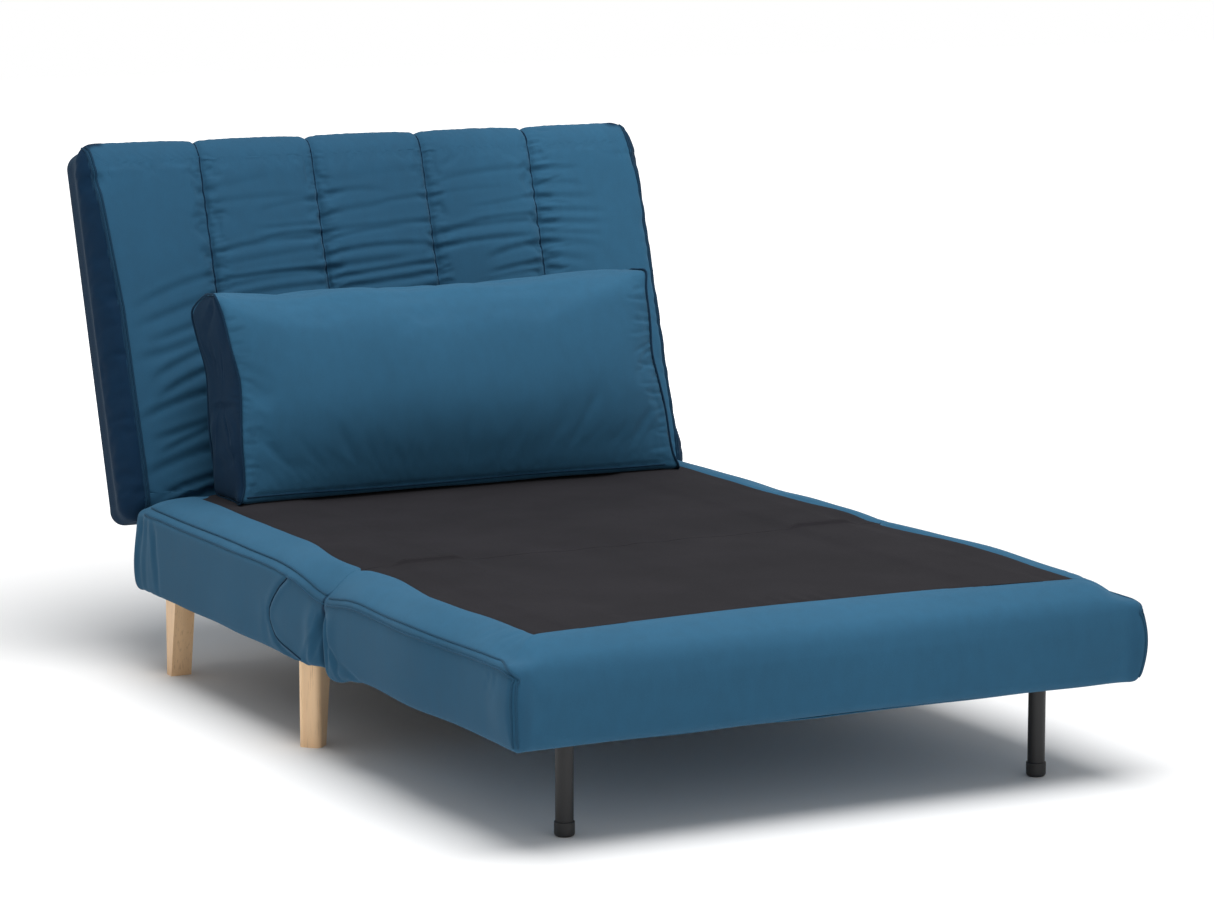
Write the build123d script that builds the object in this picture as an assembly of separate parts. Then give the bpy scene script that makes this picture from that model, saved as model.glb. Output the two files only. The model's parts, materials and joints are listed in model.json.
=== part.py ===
from build123d import *
import os
from math import cos, radians, sin, tan

# A fold-out chair bed, shown opened: a rear seat section on four wooden legs, a front seat
# section that folds up and over onto it on two fold hinges, two steel legs that fold into the
# front section, a reclining backrest on two ratchet hinges, and a loose lumbar pillow.
# +X is to the sitter's left as seen from the front, -Y is the front, +Z is up.
# The origin is on the floor, under the middle of the whole object's box.

# ---- driving dimensions, in millimetres ----
WIDTH = 1000.0              # over the side faces and the backrest
FRONT_LENGTH = 621.0        # fold line to the front face
REAR_LENGTH = 754.0         # fold line to the rear face of the rear section
FOLD_GAP = 2.0              # each section stops this far short of the fold line
BOTTOM_Z = 142.0            # underside of both sections
RIM_Z = 258.0               # piping line at the sides
CROWN_Z = 286.0             # top of the black panels
BORDER_WIDTH = 60.0         # velvet border between the piping and the black panel
FRONT_ROLL = 56.0           # the border's width at the front edge
REAR_ROLL = 40.0            # the border's width at the backrest
FOLD_Z = CROWN_Z + 1.5      # height of the fold hinges' axis
COVER = 4.0                 # casing thickness
PANEL = 3.0                 # black panel thickness
CORNER_R = 16.0             # the sections' upright corners
SKIN = 2.0                  # gussets and other flat skins

BACK_LEAN = 17.5            # degrees from upright
BACK_HEIGHT = 614.0         # along the slope
BACK_THICK = 109.0
BACK_TOP_R = 46.0           # rounded upper corners
BACK_LOW_R = 20.0
BACK_EDGE_R = 14.0
BACK_FOOT_Y = REAR_LENGTH + 1.2   # lower front corner of the backrest, from the fold line
BACK_FOOT_Z = 250.0
BACK_PAD = 45.0             # padding in front of the backrest's frame
BACK_WALL = 16.0            # padding at the backrest's edges

PIVOT_IN = 8.0              # recline axis behind the backrest's front surface
PIVOT_UP = 0.5              # and above its lower end

PILLOW_WIDTH = 762.0
PILLOW_X = -6.0
PILLOW_CROWN_WIDTH = 600.0

RAIL_X = 459.0              # middle of the side rails
REAR_LEG_X = 450.0          # foot centres
MIDDLE_LEG_X = 465.0
WOOD_LEG_WIDTH = 34.0
WOOD_LEG_TOP = 50.0         # front to back at the top
WOOD_LEG_FOOT = 25.0        # and at the floor
WOOD_LEG_R = 8.0
LEG_BOLT_R = 4.0
LEG_BOLT_LENGTH = 60.0
REAR_LEG_Y = 692.0          # foot centres, from the fold line
MIDDLE_LEG_Y = 122.0

TUBE_R = 12.5
TUBE_WALL = 1.5
STEEL_LEG_X = 379.0
STEEL_LEG_Y = -531.0
LEG_PIVOT_Z = 160.0
CAP_R = 14.25
CAP_HEIGHT = 21.0
CHANNEL_HALF = 16.0         # half the inside width of the leg's channel
CHANNEL_WALL = 2.0
CHANNEL_TOP = 178.5

RAIL = 40.0                 # timber rails of the rear frame, square
FRONT_RAIL_TOP = 208.5
SLAT = 8.0
SLAT_WIDTH = 70.0
PIPING_R = 3.0

HINGE_X = 330.0             # fold hinges
LEAF = 3.0
LEAF_WIDTH = 34.0
KNUCKLE_R = 3.2
FOLD_PIN_R = 1.5
RUNNING = 0.05              # radial clearance of a pin in its hole

RECLINER_X = 439.0          # outer face of the recliner's fixed plate
PLATE = 4.0
RECLINE_PIN_R = 5.0
HUB_R = 12.0
RECLINER_IN = RECLINER_X - 18    # the space each recliner takes in the covers and padding
RECLINER_OUT = RECLINER_X + 3

# ---- worked out from them ----
LEAN = radians(BACK_LEAN)
BACK_REACH = BACK_FOOT_Y + BACK_HEIGHT * sin(LEAN) + BACK_THICK * cos(LEAN)
PIVOT_Y = BACK_FOOT_Y + PIVOT_UP * sin(LEAN) + PIVOT_IN * cos(LEAN)
PIVOT_Z = BACK_FOOT_Z + PIVOT_UP * cos(LEAN) - PIVOT_IN * sin(LEAN)
HALF = WIDTH / 2
SIDE = HALF - SKIN          # the sections' side faces; the gussets stand on them
REACH_LOSS = BACK_EDGE_R * (cos(LEAN) + sin(LEAN) - 1)   # taken off by the rounded top edge
ORIGIN_Y = (BACK_REACH - REACH_LOSS - FRONT_LENGTH) / 2

os.makedirs("parts", exist_ok=True)


def block(x0, x1, y0, y1, z0, z1):
    """A box between two corners; y is counted from the fold line."""
    size = (x1 - x0, y1 - y0, z1 - z0)
    return Pos((x0 + x1) / 2, (y0 + y1) / 2, (z0 + z1) / 2) * Box(*size)


def rod_x(radius, x0, x1, y, z):
    """A round bar along X."""
    return Pos((x0 + x1) / 2, y, z) * Rot(0, 90, 0) * Cylinder(radius, x1 - x0)


def rod_y(radius, x, y0, y1, z):
    """A round bar along Y."""
    return Pos(x, (y0 + y1) / 2, z) * Rot(90, 0, 0) * Cylinder(radius, y1 - y0)


def plate_x(points, x0, x1):
    """A flat plate across X whose outline is given as (y, z) points."""
    outline = Polyline(*[(0, y, z) for y, z in points], close=True)
    return Pos(x0, 0, 0) * extrude(make_face(outline), x1 - x0, dir=(1, 0, 0))


def mirrored(solid):
    return mirror(solid, about=Plane.YZ)


def both(solid):
    """The solid and its mirror image, as one node of separate solids."""
    return Compound(children=[solid, mirrored(solid)])


def leaning(solid):
    """From the backrest's own frame (x, behind the front surface, up the slope)."""
    return Pos(0, BACK_FOOT_Y, BACK_FOOT_Z) * Rot(-BACK_LEAN, 0, 0) * solid


def save(name, shape):
    """Moves a sub-part from the fold line's frame to the part's own frame and writes it."""
    export_step(Pos(0, -ORIGIN_Y, 0) * shape, f"parts/{name}.step")


# ---- seat sections ----
def section_form(fold_y, far_y, roll, inset, low_z, high_z):
    """A section's outer form: upright sides to the rim, then a slope up to the black panel."""
    side = 1 if far_y > fold_y else -1
    near, far = fold_y + side * inset, far_y - side * inset
    half = SIDE - inset
    middle, length = (near + far) / 2, abs(far - near)
    walls = block(-half, half, min(near, far), max(near, far), low_z, RIM_Z)
    corners = walls.edges().filter_by(Axis.Z).sort_by(Axis.Y)
    far_corners = corners[-2:] if side > 0 else corners[:2]
    walls = fillet(far_corners, CORNER_R - inset)
    top_far = far - side * roll
    top_middle, top_length = (near + top_far) / 2, abs(top_far - near)
    base = Pos(0, middle, RIM_Z) * Rectangle(2 * (half - 2), length - 4)
    top = Pos(0, top_middle, high_z) * Rectangle(2 * (half - BORDER_WIDTH), top_length - 4)
    return walls + loft([base.face(), top.face()])


def black_panel(near_y, far_y):
    """The black non-woven top, let into the casing's border."""
    half = SIDE - BORDER_WIDTH - 4
    panel = block(-half, half, near_y, far_y, CROWN_Z - PANEL, CROWN_Z)
    return fillet(panel.edges().filter_by(Axis.Z), 6)


def hinge_relief(side):
    """The space that a fold hinge's leaf and knuckle take out of one section."""
    x0, x1 = side * (HINGE_X - LEAF_WIDTH - 3), side * (HINGE_X + LEAF_WIDTH + 3)
    low, high = min(x0, x1), max(x0, x1)
    knuckle = rod_x(KNUCKLE_R + 2.5, low, high, 0, FOLD_Z)
    return knuckle + block(low, high, -7, 7, CROWN_Z - 110, FOLD_Z)


def steel_leg_pocket():
    """The space of the right leg's channel in the front section's lower padding."""
    width = CHANNEL_HALF + CHANNEL_WALL + 8
    return block(196, 404, STEEL_LEG_Y - width, STEEL_LEG_Y + width, BOTTOM_Z + COVER,
                 CHANNEL_TOP + 0.2)


RELIEFS = hinge_relief(1) + hinge_relief(-1)


def rear_section():
    fold, far = FOLD_GAP, REAR_LENGTH
    outer = section_form(fold, far, REAR_ROLL, 0, BOTTOM_Z, CROWN_Z)
    inner = section_form(fold, far, REAR_ROLL, COVER, BOTTOM_Z - 10, CROWN_Z - PANEL - 0.3)
    panel = black_panel(fold + 2, far - REAR_ROLL - 5)
    slots = block(RECLINER_IN, RECLINER_OUT, far - 8, far + 2, 226, 264)
    cover = outer - inner - black_panel(fold + 1.9, far - REAR_ROLL - 4.9) - RELIEFS
    cover = cover - slots - mirrored(slots) - piping_cords(fold, far, PIPING_R + 0.2)
    save("rear_seat_cover", cover)
    save("rear_black_panel", panel - RELIEFS)
    save("rear_piping", piping_cords(fold + 1, far - CORNER_R, PIPING_R))

    half = SIDE - COVER - 0.5
    dust = block(-half, half, fold + COVER + 0.5, far - COVER - 0.5, BOTTOM_Z, BOTTOM_Z + SKIN)
    dust = fillet(dust.edges().filter_by(Axis.Z), CORNER_R - COVER)
    for bolt in leg_bolt_places():
        dust = dust - bolt * Cylinder(LEG_BOLT_R + 1, LEG_BOLT_LENGTH)
    save("rear_dust_cover", dust)

    low = BOTTOM_Z + SKIN + 0.5
    high = low + RAIL
    outer_x, inner_x = RAIL_X + RAIL / 2, RAIL_X - RAIL / 2
    near, back = fold + COVER + 2, far - COVER - 4
    rail = block(inner_x, outer_x, near, back, low, high)
    for bolt in leg_bolt_places():
        rail = rail - bolt * Cylinder(LEG_BOLT_R + RUNNING, 200)
    save("rear_right_rail", rail)
    save("rear_left_rail", mirrored(rail))
    inside = RECLINER_X - PLATE - 6
    save("rear_fold_rail", block(-inner_x, inner_x, near, near + RAIL, low, high))
    save("rear_back_rail", block(-inside, inside, back - RAIL, back, low, high))

    slats = [block(-outer_x, outer_x, y - SLAT_WIDTH / 2, y + SLAT_WIDTH / 2, high + 0.2, high + SLAT)
             for y in (60, 190, 320, 450, 580)]
    save("rear_slats", Compound(children=slats))

    foam = section_form(fold, far, REAR_ROLL, COVER + 0.5, high + SLAT + 0.5, CROWN_Z - PANEL - 0.8)
    notch = block(RECLINER_IN, RECLINER_OUT, 630, far, high, RIM_Z + 10)
    save("rear_foam", foam - notch - mirrored(notch) - RELIEFS)


def piping_cords(y0, y1, radius):
    """The welts along both side edges."""
    low, high = min(y0, y1), max(y0, y1)
    cord = rod_y(radius, SIDE - 1.2, low, high, RIM_Z)
    return both(cord)


def front_section():
    fold, far = -FOLD_GAP, -FRONT_LENGTH
    outer = section_form(fold, far, FRONT_ROLL, 0, BOTTOM_Z, CROWN_Z)
    inner = section_form(fold, far, FRONT_ROLL, COVER, BOTTOM_Z + COVER, CROWN_Z - PANEL - 0.3)
    panel_far = far + FRONT_ROLL + 5
    leg_slot = block(203, 397, STEEL_LEG_Y - CHANNEL_HALF, STEEL_LEG_Y + CHANNEL_HALF,
                     BOTTOM_Z - 1, BOTTOM_Z + COVER + 1)
    cover = outer - inner - black_panel(panel_far - 0.1, fold - 1.9) - RELIEFS
    cover = cover - leg_slot - mirrored(leg_slot) - piping_cords(fold, far, PIPING_R + 0.2)
    save("front_seat_cover", cover)
    save("front_black_panel", black_panel(panel_far, fold - 2) - RELIEFS)
    save("front_piping", piping_cords(fold - 1, far + CORNER_R, PIPING_R))

    low, high = CHANNEL_TOP + 0.2, FRONT_RAIL_TOP
    outer_x, inner_x = RAIL_X + RAIL / 2, RAIL_X - RAIL / 2
    near, nose = fold - COVER - 2, far + COVER + 12
    rail = block(inner_x, outer_x, nose, near, low, high)
    save("front_right_rail", rail)
    save("front_left_rail", mirrored(rail))
    save("front_fold_rail", block(-inner_x, inner_x, near - RAIL, near, low, high))
    save("front_nose_rail", block(-inner_x, inner_x, nose, nose + 30, low, high))
    leg_rail = block(-inner_x, inner_x, STEEL_LEG_Y - 22, STEEL_LEG_Y + 22, low, high)
    save("front_leg_rail", leg_rail)
    slats = [block(-outer_x, outer_x, y - SLAT_WIDTH / 2, y + SLAT_WIDTH / 2, high + 0.2, high + SLAT)
             for y in (-60, -190, -320, -450)]
    save("front_slats", Compound(children=slats))

    upper = section_form(fold, far, FRONT_ROLL, COVER + 0.5, high + SLAT + 0.5,
                         CROWN_Z - PANEL - 0.8)
    save("front_upper_foam", upper - RELIEFS)
    half = SIDE - COVER - 0.5
    lower = block(-half, half, far + COVER + 0.5, fold - COVER - 0.5, BOTTOM_Z + COVER + 0.3,
                  low - 0.3)
    lower = fillet(lower.edges().filter_by(Axis.Z), CORNER_R - COVER)
    save("front_lower_foam", lower - steel_leg_pocket() - mirrored(steel_leg_pocket()) - RELIEFS)


def fold_gussets():
    """The velvet patches that close the sides where the two sections meet."""
    top = [(10, RIM_Z - 6), (134, RIM_Z - 6)]
    curve = Spline((0, 134, RIM_Z - 6), (0, 205, 187), (0, 160, 157), (0, 88, BOTTOM_Z + 1))
    close = Polyline((0, 88, BOTTOM_Z + 1), (0, 10, BOTTOM_Z + 1), (0, *top[0]), (0, *top[1]))
    gusset = extrude(make_face(curve + close), SKIN - 0.3, dir=(1, 0, 0))
    gusset = Pos(SIDE + 0.2, 0, 0) * gusset
    save("right_fold_gusset", gusset)
    save("left_fold_gusset", mirrored(gusset))


# ---- wooden legs ----
def wood_leg_places():
    """Each leg's foot centre, and the turn that sets its flat outer face; right-hand legs."""
    rear = Pos(REAR_LEG_X, REAR_LEG_Y, 0)
    middle = Pos(MIDDLE_LEG_X, MIDDLE_LEG_Y, 0) * Rot(0, 0, -135)
    return {"rear": rear, "middle": middle}


def leg_bolt_places():
    """Bolt places: over each leg's foot, at the height of the timber rails' underside."""
    places = []
    for place in wood_leg_places().values():
        x, y = place.position.X, place.position.Y
        places += [Pos(x, y, BOTTOM_Z + 5), Pos(-x, y, BOTTOM_Z + 5)]
    return places


def wooden_legs():
    outer = WOOD_LEG_FOOT / 2
    profile = [(outer, 0), (outer, BOTTOM_Z), (outer - WOOD_LEG_TOP, BOTTOM_Z), (-outer, 0)]
    leg = plate_x(profile, -WOOD_LEG_WIDTH / 2, WOOD_LEG_WIDTH / 2)
    leg = fillet(leg.edges().filter_by(Axis.Z), WOOD_LEG_R)
    leg = leg - Pos(0, 0, BOTTOM_Z - 15) * Cylinder(LEG_BOLT_R + RUNNING, 35)
    for name, place in wood_leg_places().items():
        save(f"{name}_right_leg", place * leg)
        save(f"{name}_left_leg", mirrored(place * leg))
    bolts = [place * Pos(0, 0, -2) * Cylinder(LEG_BOLT_R, LEG_BOLT_LENGTH) for place in leg_bolt_places()]
    save("leg_bolts", Compound(children=bolts))


# ---- folding steel legs ----
def steel_leg_tube():
    """The right leg's tube, with a round upper end that turns on the pivot bolt."""
    height = LEG_PIVOT_Z - 6
    tube = Pos(STEEL_LEG_X, STEEL_LEG_Y, 6 + height / 2) * Cylinder(TUBE_R, height)
    head = Pos(STEEL_LEG_X, STEEL_LEG_Y, LEG_PIVOT_Z) * Cylinder(TUBE_R, 2 * TUBE_R)
    head = head & rod_y(TUBE_R, STEEL_LEG_X, STEEL_LEG_Y - 20, STEEL_LEG_Y + 20, LEG_PIVOT_Z)
    bore = Pos(STEEL_LEG_X, STEEL_LEG_Y, 6 + height / 2) * Cylinder(TUBE_R - TUBE_WALL, height + 30)
    bolt = rod_y(4 + RUNNING, STEEL_LEG_X, STEEL_LEG_Y - 20, STEEL_LEG_Y + 20, LEG_PIVOT_Z)
    return tube + head - bore - bolt


def steel_leg_cap():
    """The right leg's foot: a cup with a domed underside."""
    cup = Pos(STEEL_LEG_X, STEEL_LEG_Y, CAP_HEIGHT / 2) * Cylinder(CAP_R, CAP_HEIGHT)
    cup = fillet(cup.edges().filter_by(GeomType.CIRCLE).sort_by(Axis.Z)[0], 5)
    cup = chamfer(cup.edges().filter_by(GeomType.CIRCLE).sort_by(Axis.Z)[-1], 0.8)
    socket = Pos(STEEL_LEG_X, STEEL_LEG_Y, 5.8 + CAP_HEIGHT / 2) * Cylinder(TUBE_R + 0.05, CAP_HEIGHT)
    return cup - socket


def steel_leg_channel():
    """The right leg's channel: the folded leg lies inside it, flush with the underside."""
    half = CHANNEL_HALF + CHANNEL_WALL
    y0, y1 = STEEL_LEG_Y - half, STEEL_LEG_Y + half
    body = block(201, 399, y0, y1, BOTTOM_Z + 5, CHANNEL_TOP)
    hollow = block(190, 410, STEEL_LEG_Y - CHANNEL_HALF, STEEL_LEG_Y + CHANNEL_HALF,
                   BOTTOM_Z, CHANNEL_TOP - CHANNEL_WALL)
    hole = rod_y(4.0, STEEL_LEG_X, y0 - 1, y1 + 1, LEG_PIVOT_Z)
    return body - hollow - hole


def leg_pivot_bolt():
    half = CHANNEL_HALF + CHANNEL_WALL
    y0, y1 = STEEL_LEG_Y - half, STEEL_LEG_Y + half
    shank = rod_y(4.0, STEEL_LEG_X, y0 - 0.1, y1 + 0.1, LEG_PIVOT_Z)
    head = Pos(STEEL_LEG_X, y0 - 2.6, LEG_PIVOT_Z) * Rot(90, 0, 0)
    nut = Pos(STEEL_LEG_X, y1 + 3.1, LEG_PIVOT_Z) * Rot(90, 0, 0)
    head = head * extrude(RegularPolygon(7, 6), 2.5, both=True)
    nut = nut * extrude(RegularPolygon(7, 6), 3, both=True)
    return shank + head + nut


def steel_legs():
    for side, turn in (("right", lambda solid: solid), ("left", mirrored)):
        save(f"{side}_leg_tube", turn(steel_leg_tube()))
        save(f"{side}_leg_cap", turn(steel_leg_cap()))
        save(f"{side}_leg_channel", turn(steel_leg_channel()))
    save("leg_pivot_bolts", both(leg_pivot_bolt()))


# ---- fold hinges ----
def fold_leaf(side, x0, x1):
    """One leaf: a plate on the end rail, rising to a knuckle on the fold axis."""
    y0, y1 = sorted((side * 2.6, side * (2.6 + LEAF)))
    low = CROWN_Z - 105
    leaf = block(x0, x1, y0, y1, low, FOLD_Z)
    leaf = leaf + rod_x(KNUCKLE_R, x0, x1, 0, FOLD_Z)
    for z in (low + 12, low + 26):
        leaf = leaf - rod_y(2.5, (x0 + x1) / 2, y0 - 1, y1 + 1, z)
    return leaf - rod_x(FOLD_PIN_R + RUNNING, x0 - 1, x1 + 1, 0, FOLD_Z)


def fold_hinges():
    rear = fold_leaf(1, HINGE_X + 0.3, HINGE_X + LEAF_WIDTH)
    front = fold_leaf(-1, HINGE_X - LEAF_WIDTH, HINGE_X - 0.3)
    pin = rod_x(FOLD_PIN_R, HINGE_X - LEAF_WIDTH - 1, HINGE_X + LEAF_WIDTH + 1, 0, FOLD_Z)
    save("fold_hinge_rear_leaves", both(rear))
    save("fold_hinge_front_leaves", both(front))
    save("fold_hinge_pins", both(pin))


# ---- backrest ----
def back_slab(n0, n1, inset):
    """A rounded board in the backrest's own frame, between two depths behind its front."""
    half = HALF - inset
    low, high = inset, BACK_HEIGHT - inset
    slab = block(-half, half, n0, n1, low, high)
    uprights = slab.edges().filter_by(Axis.Y).sort_by(Axis.Z)
    slab = fillet(uprights[-2:], BACK_TOP_R - inset)
    low_corners = slab.edges().filter_by(Axis.Y).sort_by(Axis.Z)[:2]
    return fillet(low_corners, max(BACK_LOW_R - inset, 3))


def backrest():
    outer = back_slab(0, BACK_THICK, 0)
    faces = outer.faces().filter_by(Axis.Y)
    rims = faces[0].edges() + faces[1].edges()
    outer = fillet(rims, BACK_EDGE_R)
    cavity = back_slab(BACK_PAD, BACK_THICK + 5, BACK_WALL)
    hub = leaning(outer - cavity)
    swing = rod_x(HUB_R + 7, RECLINER_IN, RECLINER_OUT, PIVOT_Y, PIVOT_Z)
    arm_slot = leaning(block(RECLINER_IN, RECLINER_OUT, -1, BACK_THICK - 6, -8, 60))
    cut = swing + arm_slot
    save("backrest_cushion", hub - cut - mirrored(cut))
    save("backrest_back_cover", leaning(back_slab(BACK_THICK - 4, BACK_THICK - 0.2, BACK_WALL + 0.3)))

    arm_out = RECLINER_X - PLATE - 0.5
    upright_out = arm_out - PLATE
    upright = block(upright_out - 30, upright_out - 0.1, 62, 97, BACK_WALL + 2,
                    BACK_HEIGHT - BACK_WALL - 2)
    save("backrest_right_upright", leaning(upright))
    save("backrest_left_upright", leaning(mirrored(upright)))
    inside = upright_out - 30.2
    top = block(-inside, inside, 62, 97, BACK_HEIGHT - BACK_WALL - 42, BACK_HEIGHT - BACK_WALL - 2)
    low = block(-inside, inside, 62, 97, BACK_WALL + 2, BACK_WALL + 42)
    save("backrest_top_rail", leaning(top))
    save("backrest_bottom_rail", leaning(low))
    straps = [block(x - 30, x + 30, 58.5, 61.5, BACK_WALL + 6, BACK_HEIGHT - BACK_WALL - 6)
              for x in (-320, -160, 0, 160, 320)]
    save("backrest_webbing", leaning(Compound(children=straps)))
    foam = back_slab(BACK_PAD + 0.5, 58, BACK_WALL + 0.5)
    foam_cut = block(RECLINER_IN, RECLINER_OUT, BACK_PAD, 59, 0, 160)
    save("backrest_foam", leaning(foam - foam_cut - mirrored(foam_cut)))

    arm = recliner_arm(arm_out - PLATE, arm_out)
    save("right_recliner_arm", arm)
    save("left_recliner_arm", mirrored(arm))


def recliner_arm(x0, x1):
    """The moving arm: a hub on the recline pin and a blade up the backrest's upright."""
    blade = plate_x([(PIVOT_IN - 8, 6), (PIVOT_IN + 6, -6), (92, 20), (92, 150), (68, 150), (62, 52)],
                    x0, x1)
    arm = leaning(blade) + rod_x(HUB_R, x0, x1, PIVOT_Y, PIVOT_Z)
    return arm - rod_x(RECLINE_PIN_R + RUNNING, x0 - 1, x1 + 1, PIVOT_Y, PIVOT_Z)


def recliner_plate(x0, x1):
    """The fixed plate on the inner face of the rear section's side rail."""
    low = BOTTOM_Z + 8
    outline = [(640, low), (736, low), (736, 232), (PIVOT_Y, PIVOT_Z - HUB_R),
               (PIVOT_Y, PIVOT_Z + HUB_R - 3), (742, 249), (704, 249), (690, 196), (640, 184)]
    plate = plate_x(outline, x0, x1) + rod_x(HUB_R, x0, x1, PIVOT_Y, PIVOT_Z)
    for y, z in ((655, 167), (720, 167)):
        plate = plate - rod_x(3.2, x0 - 1, x1 + 1, y, z)
    return plate - rod_x(RECLINE_PIN_R, x0 - 1, x1 + 1, PIVOT_Y, PIVOT_Z)


def ratchet(x0, x1):
    """A toothed disc, fixed to the pin, that the pawl on the arm drops into."""
    disc = rod_x(11, x0, x1, PIVOT_Y, PIVOT_Z)
    tooth = block(x0, x1, -1.6, 1.6, 9, 14)
    for step in range(12):
        disc = disc + Pos(0, PIVOT_Y, PIVOT_Z) * Rot(30 * step, 0, 0) * tooth
    return disc - rod_x(RECLINE_PIN_R, x0 - 1, x1 + 1, PIVOT_Y, PIVOT_Z)


def recliners():
    plate_in = RECLINER_X - PLATE
    plate = recliner_plate(plate_in, RECLINER_X - 0.1)
    save("right_recliner_plate", plate)
    save("left_recliner_plate", mirrored(plate))
    arm_in = plate_in - 0.5 - PLATE
    disc_in, disc_out = arm_in - 4.5, arm_in - 0.5
    save("recliner_ratchets", both(ratchet(disc_in, disc_out)))
    save("recliner_pins", both(rod_x(RECLINE_PIN_R, disc_in - 2, RECLINER_X + 2, PIVOT_Y, PIVOT_Z)))
    pawl = plate_x([(PIVOT_IN + 15, 1), (PIVOT_IN + 40, -2), (PIVOT_IN + 42, 14), (PIVOT_IN + 16, 6)],
                   disc_in, arm_in)
    save("recliner_pawls", both(leaning(pawl)))


# ---- pillow ----
def pillow():
    """A box-edged lumbar pillow: side panel outline, with a crown in front and behind."""
    foot = CROWN_Z + 0.5
    edge = [(566, foot + 6), (572, foot), (676, foot), (684, foot + 6), (752, 568), (742, 588),
            (690, 606), (634, 610), (625, 604)]
    half = PILLOW_WIDTH / 2
    crown = PILLOW_CROWN_WIDTH / 2

    def at_backrest(z, gap):
        return BACK_FOOT_Y + (z - BACK_FOOT_Z) * tan(LEAN) - gap

    slab = plate_x(edge, -half, half)
    behind = plate_x([(682, foot + 12), (750, 566), (at_backrest(535, 4), 535),
                      (at_backrest(360, 4), 360)], -crown, crown)
    ahead = plate_x([(572, foot + 14), (622, 596), (594, 540), (560, 380)], -crown, crown)
    form = Pos(PILLOW_X, 0, 0) * (slab + behind + ahead)
    core = Pos(PILLOW_X, 0, 0) * (plate_x(inner_outline(edge, 10), -half + 10, half - 10))
    save("pillow_cover", form - core)
    filling = plate_x(inner_outline(edge, 11), -half + 11, half - 11)
    save("pillow_filling", Pos(PILLOW_X, 0, 0) * filling)


def inner_outline(points, inset):
    """A smaller copy of an outline about its middle, about the inset inside it."""
    middle_y = sum(y for y, z in points) / len(points)
    middle_z = sum(z for y, z in points) / len(points)
    half_y = (max(y for y, z in points) - min(y for y, z in points)) / 2
    half_z = (max(z for y, z in points) - min(z for y, z in points)) / 2
    scale_y, scale_z = 1 - inset / half_y, 1 - inset / half_z
    return [(middle_y + (y - middle_y) * scale_y, middle_z + (z - middle_z) * scale_z)
            for y, z in points]


def recline_facts():
    """Prints the joint places in the part's own frame, in metres."""
    print("fold axis y, z:", round(-ORIGIN_Y / 1000, 5), round(FOLD_Z / 1000, 5))
    print("recline axis y, z:", round((PIVOT_Y - ORIGIN_Y) / 1000, 5), round(PIVOT_Z / 1000, 5))
    print("leg pivots x, y, z:", STEEL_LEG_X / 1000, round((STEEL_LEG_Y - ORIGIN_Y) / 1000, 5),
          LEG_PIVOT_Z / 1000)
    print("backrest up:", round(sin(LEAN), 5), round(cos(LEAN), 5))


rear_section()
front_section()
fold_gussets()
wooden_legs()
steel_legs()
fold_hinges()
backrest()
recliners()
pillow()
recline_facts()
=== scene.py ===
import json
import math

import bmesh
import bpy
import numpy as np
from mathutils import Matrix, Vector
from mathutils.bvhtree import BVHTree


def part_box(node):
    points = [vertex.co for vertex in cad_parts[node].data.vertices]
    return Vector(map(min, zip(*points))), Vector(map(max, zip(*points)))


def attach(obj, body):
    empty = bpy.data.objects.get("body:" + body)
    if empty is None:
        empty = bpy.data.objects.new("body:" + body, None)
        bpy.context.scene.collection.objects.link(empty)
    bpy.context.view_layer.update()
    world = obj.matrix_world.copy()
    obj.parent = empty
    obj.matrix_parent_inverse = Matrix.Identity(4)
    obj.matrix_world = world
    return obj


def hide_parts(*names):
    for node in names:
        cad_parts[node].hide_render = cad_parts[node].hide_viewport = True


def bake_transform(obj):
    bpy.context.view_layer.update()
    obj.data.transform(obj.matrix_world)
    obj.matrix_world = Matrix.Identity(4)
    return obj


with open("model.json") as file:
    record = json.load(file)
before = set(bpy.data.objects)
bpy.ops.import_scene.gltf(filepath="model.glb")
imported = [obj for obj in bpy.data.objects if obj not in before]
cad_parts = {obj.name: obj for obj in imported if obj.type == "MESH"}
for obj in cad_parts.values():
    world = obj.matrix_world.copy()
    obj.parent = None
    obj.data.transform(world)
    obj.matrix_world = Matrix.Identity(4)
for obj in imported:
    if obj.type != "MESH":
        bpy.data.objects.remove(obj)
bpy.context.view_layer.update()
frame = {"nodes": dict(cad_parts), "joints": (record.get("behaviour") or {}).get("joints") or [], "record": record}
JOINTS = {joint["name"]: joint for joint in frame["joints"]}

# ---- places read from the frame, in metres ----
FOLD_Y, FOLD_Z = JOINTS["front_fold"]["pos_m"][1:]
FRONT_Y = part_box("front_seat_cover")[0].y
REAR_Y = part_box("rear_seat_cover")[1].y
SECTION_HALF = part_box("rear_seat_cover")[1].x
BOTTOM_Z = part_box("front_seat_cover")[0].z
PANEL_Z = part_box("rear_black_panel")[1].z
RIM_Z = (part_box("rear_piping")[0].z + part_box("rear_piping")[1].z) / 2
PANEL_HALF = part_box("rear_black_panel")[1].x
BACK_UP = Vector(JOINTS["pillow_lift"]["axis"])
BACK_IN = Vector((0, BACK_UP.z, -BACK_UP.y))
BACK_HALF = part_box("backrest_cushion")[1].x

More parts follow.
